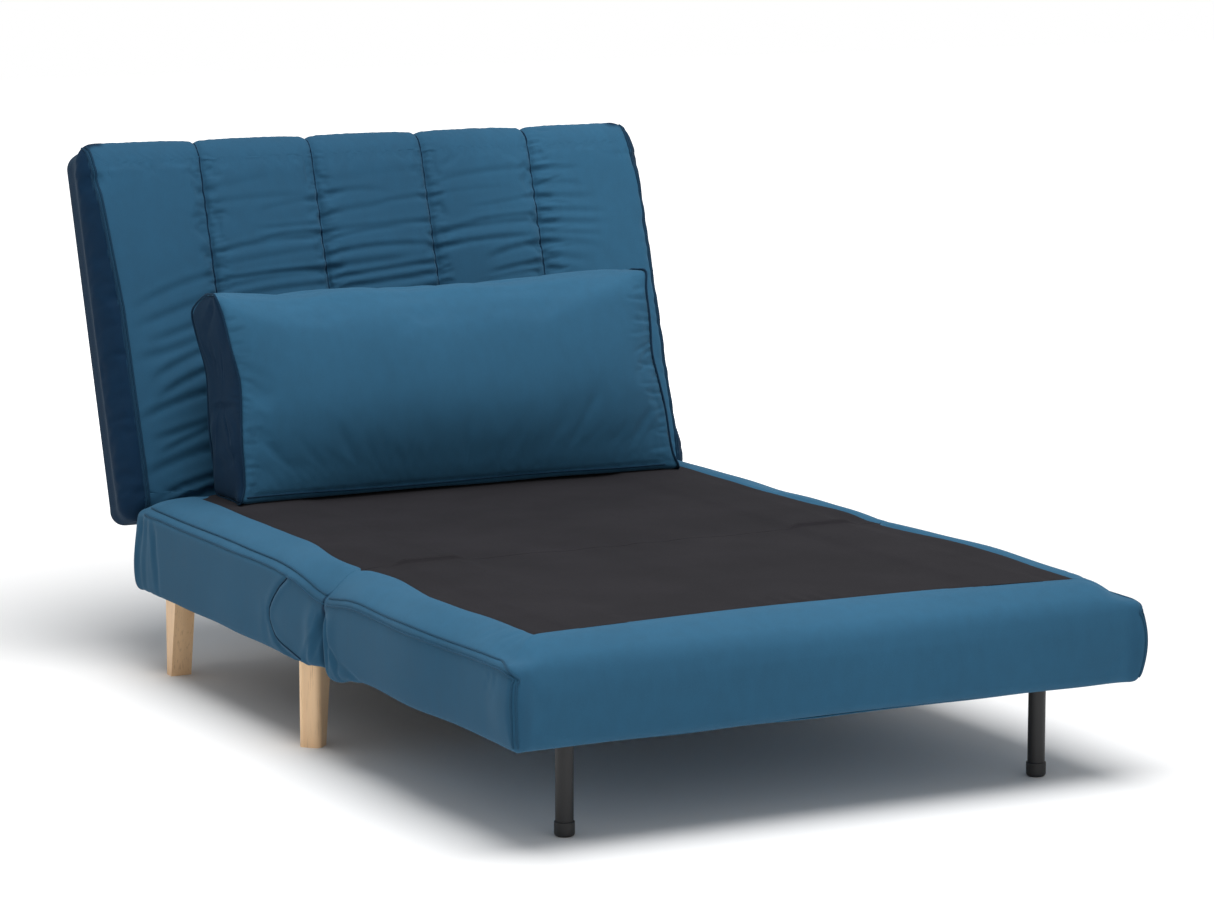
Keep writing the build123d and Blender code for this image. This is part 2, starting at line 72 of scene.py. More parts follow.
# ---- sizes of the soft goods, in metres ----
BACK_HEIGHT = 0.614
BACK_THICK = 0.109
PIVOT_IN, PIVOT_UP = 0.008, 0.0005
CHANNEL_SEAMS = (-0.3, -0.1, 0.1, 0.3)
WELT_R, GUSSET_SEAM_R = 0.0017, 0.0014
BACK_WELT_R, CHANNEL_SEAM_R = 0.0019, 0.0013
PILLOW_SEAM_R, PILLOW_FOOT_R = 0.0018, 0.0015
VELVET_THICK, NONWOVEN_THICK = 0.0016, 0.0012
PANEL_DIP = 0.22            # the panels' share of the rim's dip at the fold
FOLD_GAP = 0.0004           # from the fold line to each section
HINGE_X, KNUCKLE_R = 0.33, 0.0044
PANEL_SUNK, PANEL_TUCK = 0.0012, 0.006
PANEL_FRONT, PANEL_REAR = FRONT_Y + 0.052, REAR_Y - 0.06
PANEL_BOW = 0.041           # how far the front panel's end bows
SHEET_HALF = 0.478


# ---- Camera and light ----
def put(name, data, place, direction):
    """A new object at a place in the scene, looking along a direction."""
    thing = bpy.data.objects.new(name, data)
    thing.location = place
    thing.rotation_mode = "QUATERNION"
    thing.rotation_quaternion = Vector(direction).to_track_quat("-Z", "Y")
    bpy.context.scene.collection.objects.link(thing)
    return thing


def make_camera():
    data = bpy.data.cameras.new("camera")
    data.sensor_width = 36
    data.lens = 123.8
    data.clip_end = 60
    place, toward = (-2.865, -5.636, 1.389), (0.4564, 0.8759, -0.1563)
    bpy.context.scene.camera = put("camera", data, place, toward)


def soft_light(name, place, target, size, power):
    data = bpy.data.lights.new(name, "AREA")
    data.shape = "DISK"
    data.size = size
    data.energy = power
    put(name, data, place, Vector(target) - Vector(place))


def make_studio():
    """A white room: the backdrop reads white, and lights the piece more softly than it looks."""
    bpy.context.scene.view_settings.view_transform = "Standard"
    world = bpy.data.worlds.new("studio")
    world.use_nodes = True
    tree = world.node_tree
    backdrop = tree.nodes["Background"]
    seen = tree.nodes.new("ShaderNodeBackground")
    for shader, strength in ((backdrop, 0.42), (seen, 1.0)):
        shader.inputs["Color"].default_value = (1, 1, 1, 1)
        shader.inputs["Strength"].default_value = strength
    choose = tree.nodes.new("ShaderNodeMixShader")
    path = tree.nodes.new("ShaderNodeLightPath")
    tree.links.new(path.outputs["Is Camera Ray"], choose.inputs[0])
    tree.links.new(backdrop.outputs[0], choose.inputs[1])
    tree.links.new(seen.outputs[0], choose.inputs[2])
    tree.links.new(choose.outputs[0], tree.nodes["World Output"].inputs["Surface"])
    bpy.context.scene.world = world
    soft_light("key", (-0.15, -0.8, 4.3), (0.1, 0, 0.3), 3.8, 208)
    soft_light("front_fill", (-0.2, -4.6, 1.4), (0, -0.2, 0.3), 2.2, 9)
    corners = [(-14, -14, 0), (14, -14, 0), (14, 14, 0), (-14, 14, 0)]
    floor = new_object("floor", corners, [(0, 1, 2, 3)])
    floor.data.materials.append(floor_material())


# ---- Mesh helpers ----
def new_object(name, points, faces):
    mesh = bpy.data.meshes.new(name)
    mesh.from_pydata([tuple(p) for p in points], [], [tuple(f) for f in faces])
    mesh.validate()
    thing = bpy.data.objects.new(name, mesh)
    bpy.context.scene.collection.objects.link(thing)
    mesh.shade_smooth()
    return thing


def grid_faces(rows, columns, close_rows=False, close_columns=False, start=0):
    faces = []
    for i in range(rows if close_rows else rows - 1):
        for j in range(columns if close_columns else columns - 1):
            a = start + i * columns + j
            b = start + i * columns + (j + 1) % columns
            c = start + ((i + 1) % rows) * columns + (j + 1) % columns
            d = start + ((i + 1) % rows) * columns + j
            faces.append((a, b, c, d))
    return faces


def finish_mesh(thing, material):
    """Turns the faces outward and adds the material."""
    cleaned = bmesh.new()
    cleaned.from_mesh(thing.data)
    bmesh.ops.recalc_face_normals(cleaned, faces=cleaned.faces)
    cleaned.to_mesh(thing.data)
    cleaned.free()
    thing.data.materials.append(material)
    return thing


def smooth_path(points, count, closed=False):
    """Points evenly spaced along a smooth curve through the given ones."""
    p = np.array(points, float)
    if closed:
        p = np.vstack([p, p[:1]])
        before, after = p[-2:-1], p[1:2]
    else:
        before, after = 2 * p[:1] - p[1:2], 2 * p[-1:] - p[-2:-1]
    q = np.vstack([before, p, after])
    t = np.linspace(0, 1, 24, endpoint=False)[:, None]
    fine = []
    for a, b, c, d in zip(q, q[1:], q[2:], q[3:]):
        fine.append(0.5 * (2 * b + (c - a) * t + (2 * a - 5 * b + 4 * c - d) * t**2
                           + (3 * b - a - 3 * c + d) * t**3))
    fine = np.vstack(fine + [p[-1:]])
    run = np.r_[0, np.cumsum(np.linalg.norm(np.diff(fine, axis=0), axis=1))]
    at = np.linspace(0, run[-1], count, endpoint=not closed)
    return np.stack([np.interp(at, run, fine[:, k]) for k in range(fine.shape[1])], 1)


def tube(name, path, radius, material, closed=False, sides=8):
    """A round cord along a path."""
    path = np.array(path, float)
    if closed:
        tangent = np.roll(path, -1, 0) - np.roll(path, 1, 0)
    else:
        tangent = np.gradient(path, axis=0)
    tangent /= np.linalg.norm(tangent, axis=1)[:, None]
    across = np.cross(tangent[0], (0.3, 0.2, 0.93))
    points = []
    for place, along in zip(path, tangent):
        across = across - along * (across @ along)
        across /= np.linalg.norm(across)
        other = np.cross(along, across)
        for k in range(sides):
            angle = 2 * math.pi * k / sides
            points.append(place + radius * (math.cos(angle) * across + math.sin(angle) * other))
    faces = grid_faces(len(path), sides, close_rows=closed, close_columns=True)
    if not closed:
        faces.append(tuple(range(sides)))
        faces.append(tuple(range(len(points) - sides, len(points))))
    thing = new_object(name, points, faces)
    return finish_mesh(thing, material)


def apply_modifiers(thing):
    """Bakes a piece's modifiers into its mesh."""
    graph = bpy.context.evaluated_depsgraph_get()
    graph.update()
    baked = bpy.data.meshes.new_from_object(thing.evaluated_get(graph))
    thing.modifiers.clear()
    thing.data = baked


def coordinates(mesh):
    flat = np.empty(3 * len(mesh.vertices), np.float32)
    mesh.vertices.foreach_get("co", flat)
    return flat.reshape(-1, 3).astype(float)


def set_coordinates(mesh, points):
    mesh.vertices.foreach_set("co", points.astype(np.float32).ravel())
    mesh.update()


def refine(thing):
    """Divides each face into four on a smooth surface."""
    smooth = thing.modifiers.new("subdivision", "SUBSURF")
    smooth.levels = 1
    smooth.render_levels = 1
    apply_modifiers(thing)


def push_out(thing, depth):
    """Moves each point along its normal by depth(points)."""
    mesh = thing.data
    normals = np.empty(3 * len(mesh.vertices), np.float32)
    mesh.vertices.foreach_get("normal", normals)
    points = coordinates(mesh)
    set_coordinates(mesh, points + normals.reshape(-1, 3) * depth(points)[:, None])


INFLATE_FRAMES = 18
VELVET_CLOTH = {"quality": 6, "mass": 0.3, "tension_stiffness": 18, "compression_stiffness": 18,
                "shear_stiffness": 6, "bending_stiffness": 0.3, "use_pressure": True}


def inflate(thing, hold, pressure, grow, cap):
    """Cloth simulation: the filling presses the casing out between its held seams."""
    mesh = thing.data
    start = coordinates(mesh)
    group = thing.vertex_groups.new(name="held")
    for level in (0.3, 0.6, 1.0):
        near = np.nonzero(np.abs(np.asarray(hold) - level) < 0.01)[0]
        group.add([int(k) for k in near], level, "REPLACE")
    cloth = thing.modifiers.new("cloth", "CLOTH")
    settings = cloth.settings
    for key, value in VELVET_CLOTH.items():
        setattr(settings, key, value)
    settings.uniform_pressure_force = pressure
    settings.shrink_min = -grow
    settings.vertex_group_mass = "held"
    settings.effector_weights.gravity = 0
    cloth.collision_settings.use_collision = False
    cloth.point_cache.frame_start = 1
    cloth.point_cache.frame_end = INFLATE_FRAMES
    scene = bpy.context.scene
    for number in range(1, INFLATE_FRAMES + 1):
        scene.frame_set(number)
    graph = bpy.context.evaluated_depsgraph_get()
    swollen = coordinates(thing.evaluated_get(graph).data)
    thing.modifiers.remove(cloth)
    thing.vertex_groups.clear()
    scene.frame_set(1)
    move = np.nan_to_num(swollen - start)
    size = np.linalg.norm(move, axis=1)
    limit = cap * np.tanh(size / cap) / np.maximum(size, 1e-9)
    set_coordinates(mesh, start + move * limit[:, None])


def smoothstep(low, high, value):
    t = np.clip((value - low) / (high - low), 0, 1)
    return t * t * (3 - 2 * t)


def bell(value, width):
    return np.exp(-(value / width) ** 2)


def rounded_outline(corners, turn, counts, arc, share):
    """Points round an outline of four rounded corners, given as (x, y, radius, first angle). Each
    corner turns by the same angle in arc steps. The straight sides have counts steps in turn,
    spaced by share(side, t)."""
    def on_arc(corner, angle):
        x, y, radius, first = corner
        angle = math.radians(first + angle)
        return np.array((x + radius * math.cos(angle), y + radius * math.sin(angle)))
    points = []
    for k, corner in enumerate(corners):
        points += [on_arc(corner, turn * i / arc) for i in range(arc + 1)]
        start, end, count = points[-1], on_arc(corners[(k + 1) % 4], 0), counts[k % 2]
        points += [start + (end - start) * share(k, i / count) for i in range(1, count)]
    return np.array(points)


def waves(u, v, seed, size, height):
    """Gentle unevenness: a few crossed waves with seeded directions and phases."""
    chance = np.random.default_rng(seed)
    total = np.zeros(np.broadcast(u, v).shape)
    for _ in range(7):
        angle, phase = chance.uniform(0, math.pi), chance.uniform(0, 2 * math.pi)
        length = size * chance.uniform(0.6, 1.7)
        total += np.sin(2 * math.pi * (u * math.cos(angle) + v * math.sin(angle)) / length + phase)
    return height * total / 7


def creases(u, v, lines, lip=0.55):
    """Soft folds in cloth. A line is (u0, v0, u1, v1, width, depth, sag): a dip with a raised
    lip beside it, fading at both ends, and bowed by sag in its middle."""
    total = np.zeros(np.broadcast(u, v).shape)
    for u0, v0, u1, v1, width, depth, sag in lines:
        du, dv = u1 - u0, v1 - v0
        length = math.hypot(du, dv)
        along = ((u - u0) * du + (v - v0) * dv) / length**2
        across = ((v - v0) * du - (u - u0) * dv) / length + sag * (1 - (2 * along - 1) ** 2)
        fade = smoothstep(-0.12, 0.25, along) * smoothstep(1.12, 0.7, along)
        q = across / width
        total += depth * fade * (lip * np.exp(-(q - 1.7) ** 2) - np.exp(-q * q))
    return total


def climb(chance, low, high, *step):
    """Heights from low to high at uneven steps."""
    h = low
    while h < high:
        yield h
        h += chance.uniform(*step)


def gathers(chance, heights, start, offset, reach, slant, widths, depth, tilt=None):
    """Short creases that leave a seam at the given heights. The sign of reach is their side, and
    tilt(h) turns them."""
    side = math.copysign(1, reach)
    for h in heights:
        length = abs(reach) * chance.uniform(0.5, 1.4)
        slope = chance.uniform(-slant, slant) + (tilt(h) if tilt else 0.0)
        yield (start + side * offset, h, start + side * length, h + length * slope,
               chance.uniform(*widths), depth * chance.uniform(0.5, 1.2),
               chance.uniform(-0.002, 0.002))


# ---- Materials ----
class Nodes:
    """A material's node tree with short calls."""

    def __init__(self, name):
        self.material = bpy.data.materials.new(name)
        self.material.use_nodes = True
        self.tree = self.material.node_tree
        self.shader = self.tree.nodes["Principled BSDF"]
        self.coordinates = self.tree.nodes.new("ShaderNodeTexCoord").outputs["Object"]

    def node(self, kind, **values):
        """A node. Capitalised names are its inputs, the others its own settings."""
        made = self.tree.nodes.new("ShaderNode" + kind)
        for key, value in values.items():
            if key[0].isupper():
                made.inputs[key.replace("_", " ")].default_value = value
            else:
                setattr(made, key, value)
        return made

    def join(self, a, b):
        self.tree.links.new(a, b)

    def set(self, **values):
        for key, value in values.items():
            self.shader.inputs[key.replace("_", " ")].default_value = value

    def into(self, socket, value):
        self.join(value, self.shader.inputs[socket])

    def spread(self, socket, value, low, high):
        """Feeds a socket with the value, spread between two levels."""
        made = self.node("MapRange", To_Min=low, To_Max=high)
        self.join(value, made.inputs["Value"])
        self.into(socket, made.outputs["Result"])

    def noise(self, scale, detail=3.0, stretch=(1, 1, 1), distortion=0.0):
        mapping = self.node("Mapping", Scale=stretch)
        self.join(self.coordinates, mapping.inputs["Vector"])
        made = self.node("TexNoise", Scale=scale, Detail=detail, Distortion=distortion)
        self.join(mapping.outputs["Vector"], made.inputs["Vector"])
        return made.outputs["Fac"]

    def ramp(self, value, stops):
        made = self.node("ValToRGB")
        elements = made.color_ramp.elements
        while len(elements) < len(stops):
            elements.new(0.5)
        for element, (place, colour) in zip(elements, stops):
            element.position = place
            element.color = (*colour, 1)
        self.join(value, made.inputs["Fac"])
        return made.outputs["Color"]

    def mix(self, a, b, share, blend="MIX"):
        made = self.node("Mix", data_type="RGBA", blend_type=blend)
        made.inputs[0].default_value = share
        self.join(a, made.inputs[6])
        self.join(b, made.inputs[7])
        return made.outputs[2]

    def bump(self, height, strength, distance, under=None):
        made = self.node("Bump", Strength=strength, Distance=distance)
        self.join(height, made.inputs["Height"])
        if under is not None:
            self.join(under, made.inputs["Normal"])
        return made.outputs["Normal"]


def grey(level):
    return (level,) * 3


def shade(colour, factor):
    return tuple(channel * factor for channel in colour)


VELVET_BLUE = (0.0262, 0.103, 0.183)


def velvet_material(name, colour):
    """Short-pile velvet: brushed nap patches, fine pile, and a soft sheen. Each mesh's stored
    painted-shade values darken the base colour and lessen the sheen: painted shade."""
    n = Nodes(name)
    patches = n.noise(4.0, 2, (1, 1, 0.7), 0.4)
    tone = n.ramp(patches, [(0.3, shade(colour, 0.95)), (0.52, colour), (0.75, shade(colour, 1.06))])
    nap = n.noise(60.0, 4, (1, 1, 0.5))
    streaks = n.ramp(nap, [(0.3, grey(0.95)), (0.7, grey(1.04))])
    pile = n.noise(1500.0, 2)
    grain = n.ramp(pile, [(0.3, grey(0.86)), (0.7, grey(1.12))])
    cloth = n.mix(n.mix(tone, streaks, 1.0, "MULTIPLY"), grain, 0.8, "MULTIPLY")
    # painted shade: a stored amount per point darkens the colour and lessens the sheen
    turned = n.node("Attribute", attribute_name="nap_dark")
    shade_tint = n.ramp(turned.outputs["Fac"], [(0.0, (1, 1, 1)), (1.0, (0.08, 0.17, 0.24))])
    n.into("Base Color", n.mix(cloth, shade_tint, 1.0, "MULTIPLY"))
    under = n.bump(nap, 0.16, 0.001)
    n.into("Normal", n.bump(pile, 0.4, 0.0005, under))
    n.spread("Roughness", nap, 0.75, 0.92)
    n.spread("Sheen Weight", turned.outputs["Fac"], 0.16, 0.05)
    n.set(Sheen_Roughness=0.42, Sheen_Tint=(0.45, 0.74, 0.95, 1), Specular_IOR_Level=0.12)
    return n.material


def mark_painted_shade(thing, values):
    """Stores each point's painted shade, 0 to 1, which darkens the velvet's colour and sheen."""
    attribute = thing.data.attributes.new("nap_dark", "FLOAT", "POINT")
    attribute.data.foreach_set("value", np.clip(values, 0, 1).astype(np.float32))


def nonwoven_material():
    """Black spun-bonded cloth: a fine embossed dot grid and matted fibres."""
    n = Nodes("black_nonwoven")
    fibre = n.noise(700.0, 4, (1, 0.4, 1))
    cloud = n.noise(9.0, 3)
    tone = n.ramp(cloud, [(0.3, (0.0128, 0.0118, 0.0144)), (0.7, (0.0165, 0.0152, 0.0184))])
    specks = n.ramp(fibre, [(0.3, grey(0.75)), (0.75, grey(1.3))])
    n.into("Base Color", n.mix(tone, specks, 0.8, "MULTIPLY"))
    dots = n.node("TexVoronoi", feature="F1", Scale=420.0, Randomness=0.15)
    n.join(n.coordinates, dots.inputs["Vector"])
    under = n.bump(dots.outputs["Distance"], 0.35, 0.0004)
    under = n.bump(cloud, 0.2, 0.004, under)
    n.into("Normal", n.bump(fibre, 0.4, 0.0003, under))
    n.set(Roughness=0.9, Specular_IOR_Level=0.12, Sheen_Weight=0.02, Sheen_Roughness=0.5)
    return n.material


def wood_material(name, light, dark, grain_stretch):
    """Planed beech or pine: long growth streaks with short dark flecks."""
    n = Nodes(name)
    long_grain = n.noise(26.0, 5, grain_stretch, 1.2)
    tone = n.ramp(long_grain, [(0.3, dark), (0.55, light), (0.8, shade(light, 1.1))])
    fleck_stretch = tuple(8 if s > 0.5 else 0.5 for s in grain_stretch)
    flecks = n.noise(60.0, 2, fleck_stretch)
    marks = n.ramp(flecks, [(0.32, (0.72, 0.66, 0.6)), (0.42, (1, 1, 1))])
    n.into("Base Color", n.mix(tone, marks, 0.6, "MULTIPLY"))
    n.into("Normal", n.bump(long_grain, 0.12, 0.001))
    n.spread("Roughness", long_grain, 0.38, 0.55)
    n.set(Coat_Weight=0.15, Coat_Roughness=0.3)
    return n.material


def coated_metal_material(name, colour, metallic, rough_low, rough_high):
    """Powder-coated or zinc-plated steel, with a fine orange-peel surface and light scuffs."""
    n = Nodes(name)
    scuffs = n.noise(24.0, 5, (1, 1, 0.3), 0.4)
    n.into("Base Color", n.ramp(scuffs, [(0.35, shade(colour, 0.8)), (0.7, shade(colour, 1.25))]))
    peel = n.noise(900.0, 2)
    n.into("Normal", n.bump(peel, 0.2, 0.0002))
    n.spread("Roughness", scuffs, rough_low, rough_high)
    n.set(Metallic=metallic)
    return n.material


def plastic_material():
    """Moulded black plastic with a fine spark-eroded texture."""
    n = Nodes("moulded_black_plastic")
    texture = n.noise(1200.0, 2)
    n.into("Base Color", n.ramp(n.noise(40.0, 3), [(0.3, grey(0.012)), (0.7, (0.022, 0.022, 0.023))]))
    n.into("Normal", n.bump(texture, 0.3, 0.0003))
    n.set(Roughness=0.5)
    return n.material


def textured_material(name, kind, output, stops, strength, depth, roughness, **settings):
    """One texture gives both the tone and the relief."""
    n = Nodes(name)
    texture = n.node(kind, **settings)
    n.join(n.coordinates, texture.inputs["Vector"])
    n.into("Base Color", n.ramp(texture.outputs[output], stops))
    n.into("Normal", n.bump(texture.outputs[output], strength, depth))
    n.set(Roughness=roughness)
    return n.material


def foam_material():
    stops = [(0.1, (0.6, 0.55, 0.38)), (0.6, (0.8, 0.76, 0.6))]
    return textured_material("polyurethane_foam", "TexVoronoi", "Distance", stops, 0.5, 0.0006, 0.95,
                             feature="F1", Scale=600.0)


def webbing_material():
    stops = [(0.2, grey(0.05)), (0.8, grey(0.2))]
    return textured_material("elastic_webbing", "TexWave", "Fac", stops, 0.6, 0.0005, 0.85,
                             wave_type="BANDS", bands_direction="Z", Scale=180.0)


def floor_material():
    """A pale floor with painted light: it glows white, more and more from 1 m away from the piece."""
    n = Nodes("studio_floor")
    faint = n.noise(2.0, 2)
    n.into("Base Color", n.ramp(faint, [(0.3, grey(0.92)), (0.7, grey(0.94))]))
    distance = n.node("VectorMath", operation="LENGTH")
    n.join(n.coordinates, distance.inputs[0])
    painted_glow = n.node("MapRange", interpolation_type="SMOOTHSTEP", From_Min=1.0, From_Max=3.4, To_Max=0.9)
    n.join(distance.outputs["Value"], painted_glow.inputs["Value"])
    n.into("Emission Strength", painted_glow.outputs["Result"])
    n.set(Roughness=0.95, Emission_Color=(1, 1, 1, 1), Specular_IOR_Level=0.1)
    return n.material


MATERIALS = {
    "velvet": velvet_material("teal_velvet", VELVET_BLUE),
    # a darker copy of the velvet: painted shade for the seam cords and welts
    "velvet_dark": velvet_material("teal_velvet_welt", shade(VELVET_BLUE, 0.85)),
    "black_cloth": nonwoven_material(),
    "foam": foam_material(),
    "timber": wood_material("sawn_pine", (0.62, 0.45, 0.27), (0.5, 0.33, 0.17), (1, 1, 0.1)),
    "beech": wood_material("lacquered_beech", (0.95, 0.64, 0.37), (0.84, 0.53, 0.28), (1, 1, 0.08)),
    "black_steel": coated_metal_material("black_powder_coat", (0.008, 0.0078, 0.0085), 0.0, 0.42, 0.58),
    "zinc_steel": coated_metal_material("zinc_plate", (0.5, 0.51, 0.53), 1.0, 0.28, 0.42),
    "black_plastic": plastic_material(),
    "webbing": webbing_material(),
}


def dress_cad_nodes():
    """Every CAD node gets the material of its slot; beech and timber edges are eased."""
    slots = {part["node"]: part["material_slot"] for part in frame["record"]["subparts"]}
    for name, node in frame["nodes"].items():
        slot = slots[name]
        node.data.materials.clear()
        node.data.materials.append(MATERIALS[slot])
        if slot in ("beech", "timber"):
            ease = node.modifiers.new("eased_edges", "BEVEL")
            ease.width = 0.0012
            ease.segments = 3
            ease.limit_method = "ANGLE"
            ease.angle_limit = math.radians(40)
            ease.harden_normals = True


def settle(thing, body, slot, *nodes):
    """Puts a finished piece on its body, in place of its CAD nodes; slot is not used."""
    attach(thing, body)
    if nodes:
        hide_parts(*nodes)
    return thing


# ---- Seat sections ----
STEP_ALONG, STEP_ACROSS = 0.0062, 0.009
CORNER_STEPS = 8
CORNER_R = 0.01
FOLD_CORNER_R = 0.0016


def from_side(x, start, end):
    """Rises from 0 to 1 between two distances in from the sections' sides."""
    return smoothstep(SECTION_HALF - start, SECTION_HALF - end, np.abs(x))


def nearer_fold(side, t):
    """Spaces points along a section's sides closer together near the fold."""
    return (t, 1 - (1 - t) ** 1.5, t, t**1.5)[side]


def ring(half, y_fold, y_far, radius, counts):
    """A seat section's rounded outline, from its far left corner round to the fold and back."""
    sign = 1 if y_far > y_fold else -1
    ends = [(-1, y_far, radius, -sign), (1, y_far, radius, -sign),
            (1, y_fold, FOLD_CORNER_R, sign), (-1, y_fold, FOLD_CORNER_R, sign)]
    corners = [(side * (half - r), y + inward * r, r, 180 - 90 * sign * k)
               for k, (side, y, r, inward) in enumerate(ends)]
    return rounded_outline(corners, -90 * sign, counts, CORNER_STEPS, nearer_fold)


def section_casing(name, y_far, far_profile, far_bow, extra):
    """The velvet casing of a seat section: border, rim, walls and the turned-under edge.
    extra(x, y, z) gives each point's push outward, its lift, and how far it is drawn in."""
    sign = 1 if y_far > FOLD_Y else -1
    y_fold = FOLD_Y + sign * FOLD_GAP
    # inset and height on the side wall, then inset and height on the wall at the fold
    near = [(0.08, 0.277, 0.03, 0.262), (0.062, 0.2868, 0.0012, 0.27), (0.046, 0.285, 0, 0.2752),
            (0.03, 0.2775, 0, 0.2735), (0.016, 0.268, 0, 0.268), (0.006, 0.2605, 0, 0.2605),
            (0.0015, 0.256, 0, 0.256), (0, 0.248, 0, 0.248), (-0.002, 0.22, 0, 0.22),
            (-0.0025, 0.19, 0, 0.19), (-0.001, 0.165, 0, 0.165), (0.003, 0.15, 0.001, 0.15),
            (0.012, 0.1425, 0.004, 0.1425), (0.034, 0.1415, 0.024, 0.1415)]
    rows = 64
    paired = smooth_path(np.hstack([near, far_profile]), rows)
    length = abs(y_far - FOLD_Y)
    counts = (int(2 * SECTION_HALF / STEP_ACROSS), int(length / STEP_ALONG))
    outer = ring(SECTION_HALF, y_fold, y_far, CORNER_R, counts)
    on_far = np.abs(outer[:, 1] - y_far) < CORNER_R + 0.0011
    far_share = np.where(on_far, from_side(outer[:, 0], 0, 0.045), 0.0)
    on_fold = np.abs(outer[:, 1] - y_fold) < 0.0005
    fold_share = np.where(on_fold, from_side(outer[:, 0], 0.058, 0.076), 0.0)
    points = []
    for i_side, z_side, i_fold, z_fold, i_far, z_far in paired:
        radius = float(np.clip(CORNER_R - i_side, 0.003, 0.03))
        flat = ring(SECTION_HALF - i_side, y_fold + sign * i_fold, y_far - sign * i_far, radius,
                    counts)
        z = z_side + (z_far - z_side) * far_share + (z_fold - z_side) * fold_share
        bow = far_bow * (1 - (flat[:, 0] / SECTION_HALF) ** 2) * min(1, max(0, i_far) / 0.05)
        y = flat[:, 1] - sign * bow * on_far
        points.append(np.stack([flat[:, 0], y, z], 1))
    points = np.array(points)
    tangent_u = np.roll(points, -1, 1) - np.roll(points, 1, 1)
    tangent_v = np.gradient(points, axis=0)
    normal = np.cross(tangent_u, tangent_v)
    normal /= np.linalg.norm(normal, axis=2)[..., None] + 1e-12
    outward = points - np.array([0, (y_far + y_fold) / 2, 0.2])
    flip = np.sign((normal * outward).sum(2))
    normal *= flip[..., None]
    push, lift, side_in = extra(points[..., 0], points[..., 1], points[..., 2])
    points = points + normal * push[..., None]
    points[..., 2] += lift
    points[..., 0] -= np.sign(points[..., 0]) * side_in
    faces = grid_faces(rows, points.shape[1], close_columns=True)
    return new_object(name, points.reshape(-1, 3), faces), points


def rim_dip(y):
    """The piping and panel edges sink where the two sections meet."""
    return -0.012 * bell(y - FOLD_Y, 0.075)


def border_dip(x, y):
    """The dip is deepest at the rim, and shallow on the border's crest and the panels."""
    inset = SECTION_HALF - np.abs(x)
    tucked = -0.005 * bell(y - FOLD_Y, 0.012) * smoothstep(0.052, 0.06, inset)
    return rim_dip(y) * (PANEL_DIP + (1 - PANEL_DIP) * smoothstep(0.055, 0.012, inset)) + tucked


def fold_lean(z):
    """The pinch runs a little towards the rear on its way down."""
    return 0.011 * smoothstep(0.25, 0.195, z)


def fold_pinch(y, z):
    """The side walls are drawn in at the fold, more towards the bottom."""
    low = smoothstep(0.256, 0.2, z)
    v = y - FOLD_Y - fold_lean(z)
    narrow = 0.0105 * bell(v, 0.006) * smoothstep(0.25, 0.225, z)
    return low * (narrow + 0.0058 * bell(v, 0.018) - 0.0042 * bell(np.abs(v) - 0.034, 0.02))


def border_wander(v):
    """How far the border's inner edge strays inward along its length; v is counted from the fold."""
    return (0.008 * bell(v + 0.075, 0.075) - 0.006 * bell(v - 0.1, 0.085)
            - 0.003 * bell(v + 0.24, 0.08) + 0.015 * smoothstep(0.03, 0.26, v))


def side_bow(v):
    """The front section's sides belly out in the middle of their length."""
    return 0.01 * bell(v + 0.29, 0.16)


def border_shift(x, y, z):
    """Moves the border's inner part with its wandering edge."""
    inner = from_side(x, 0.026, 0.056) * smoothstep(0.265, 0.272, z)
    return inner * border_wander(y - FOLD_Y)


def side_weight(x, z):
    """How far a point belongs to a side wall, 0 to 1."""
    return from_side(x, 0.03, 0.008) * smoothstep(0.263, 0.25, z)


def section_waves(x, y, z, seed, size):
    """A seat section's gentle unevenness, which fades out at the fold."""
    return waves(y, z + 0.3 * x, seed, size, 0.0022) * smoothstep(0.001, 0.03, np.abs(y - FOLD_Y))


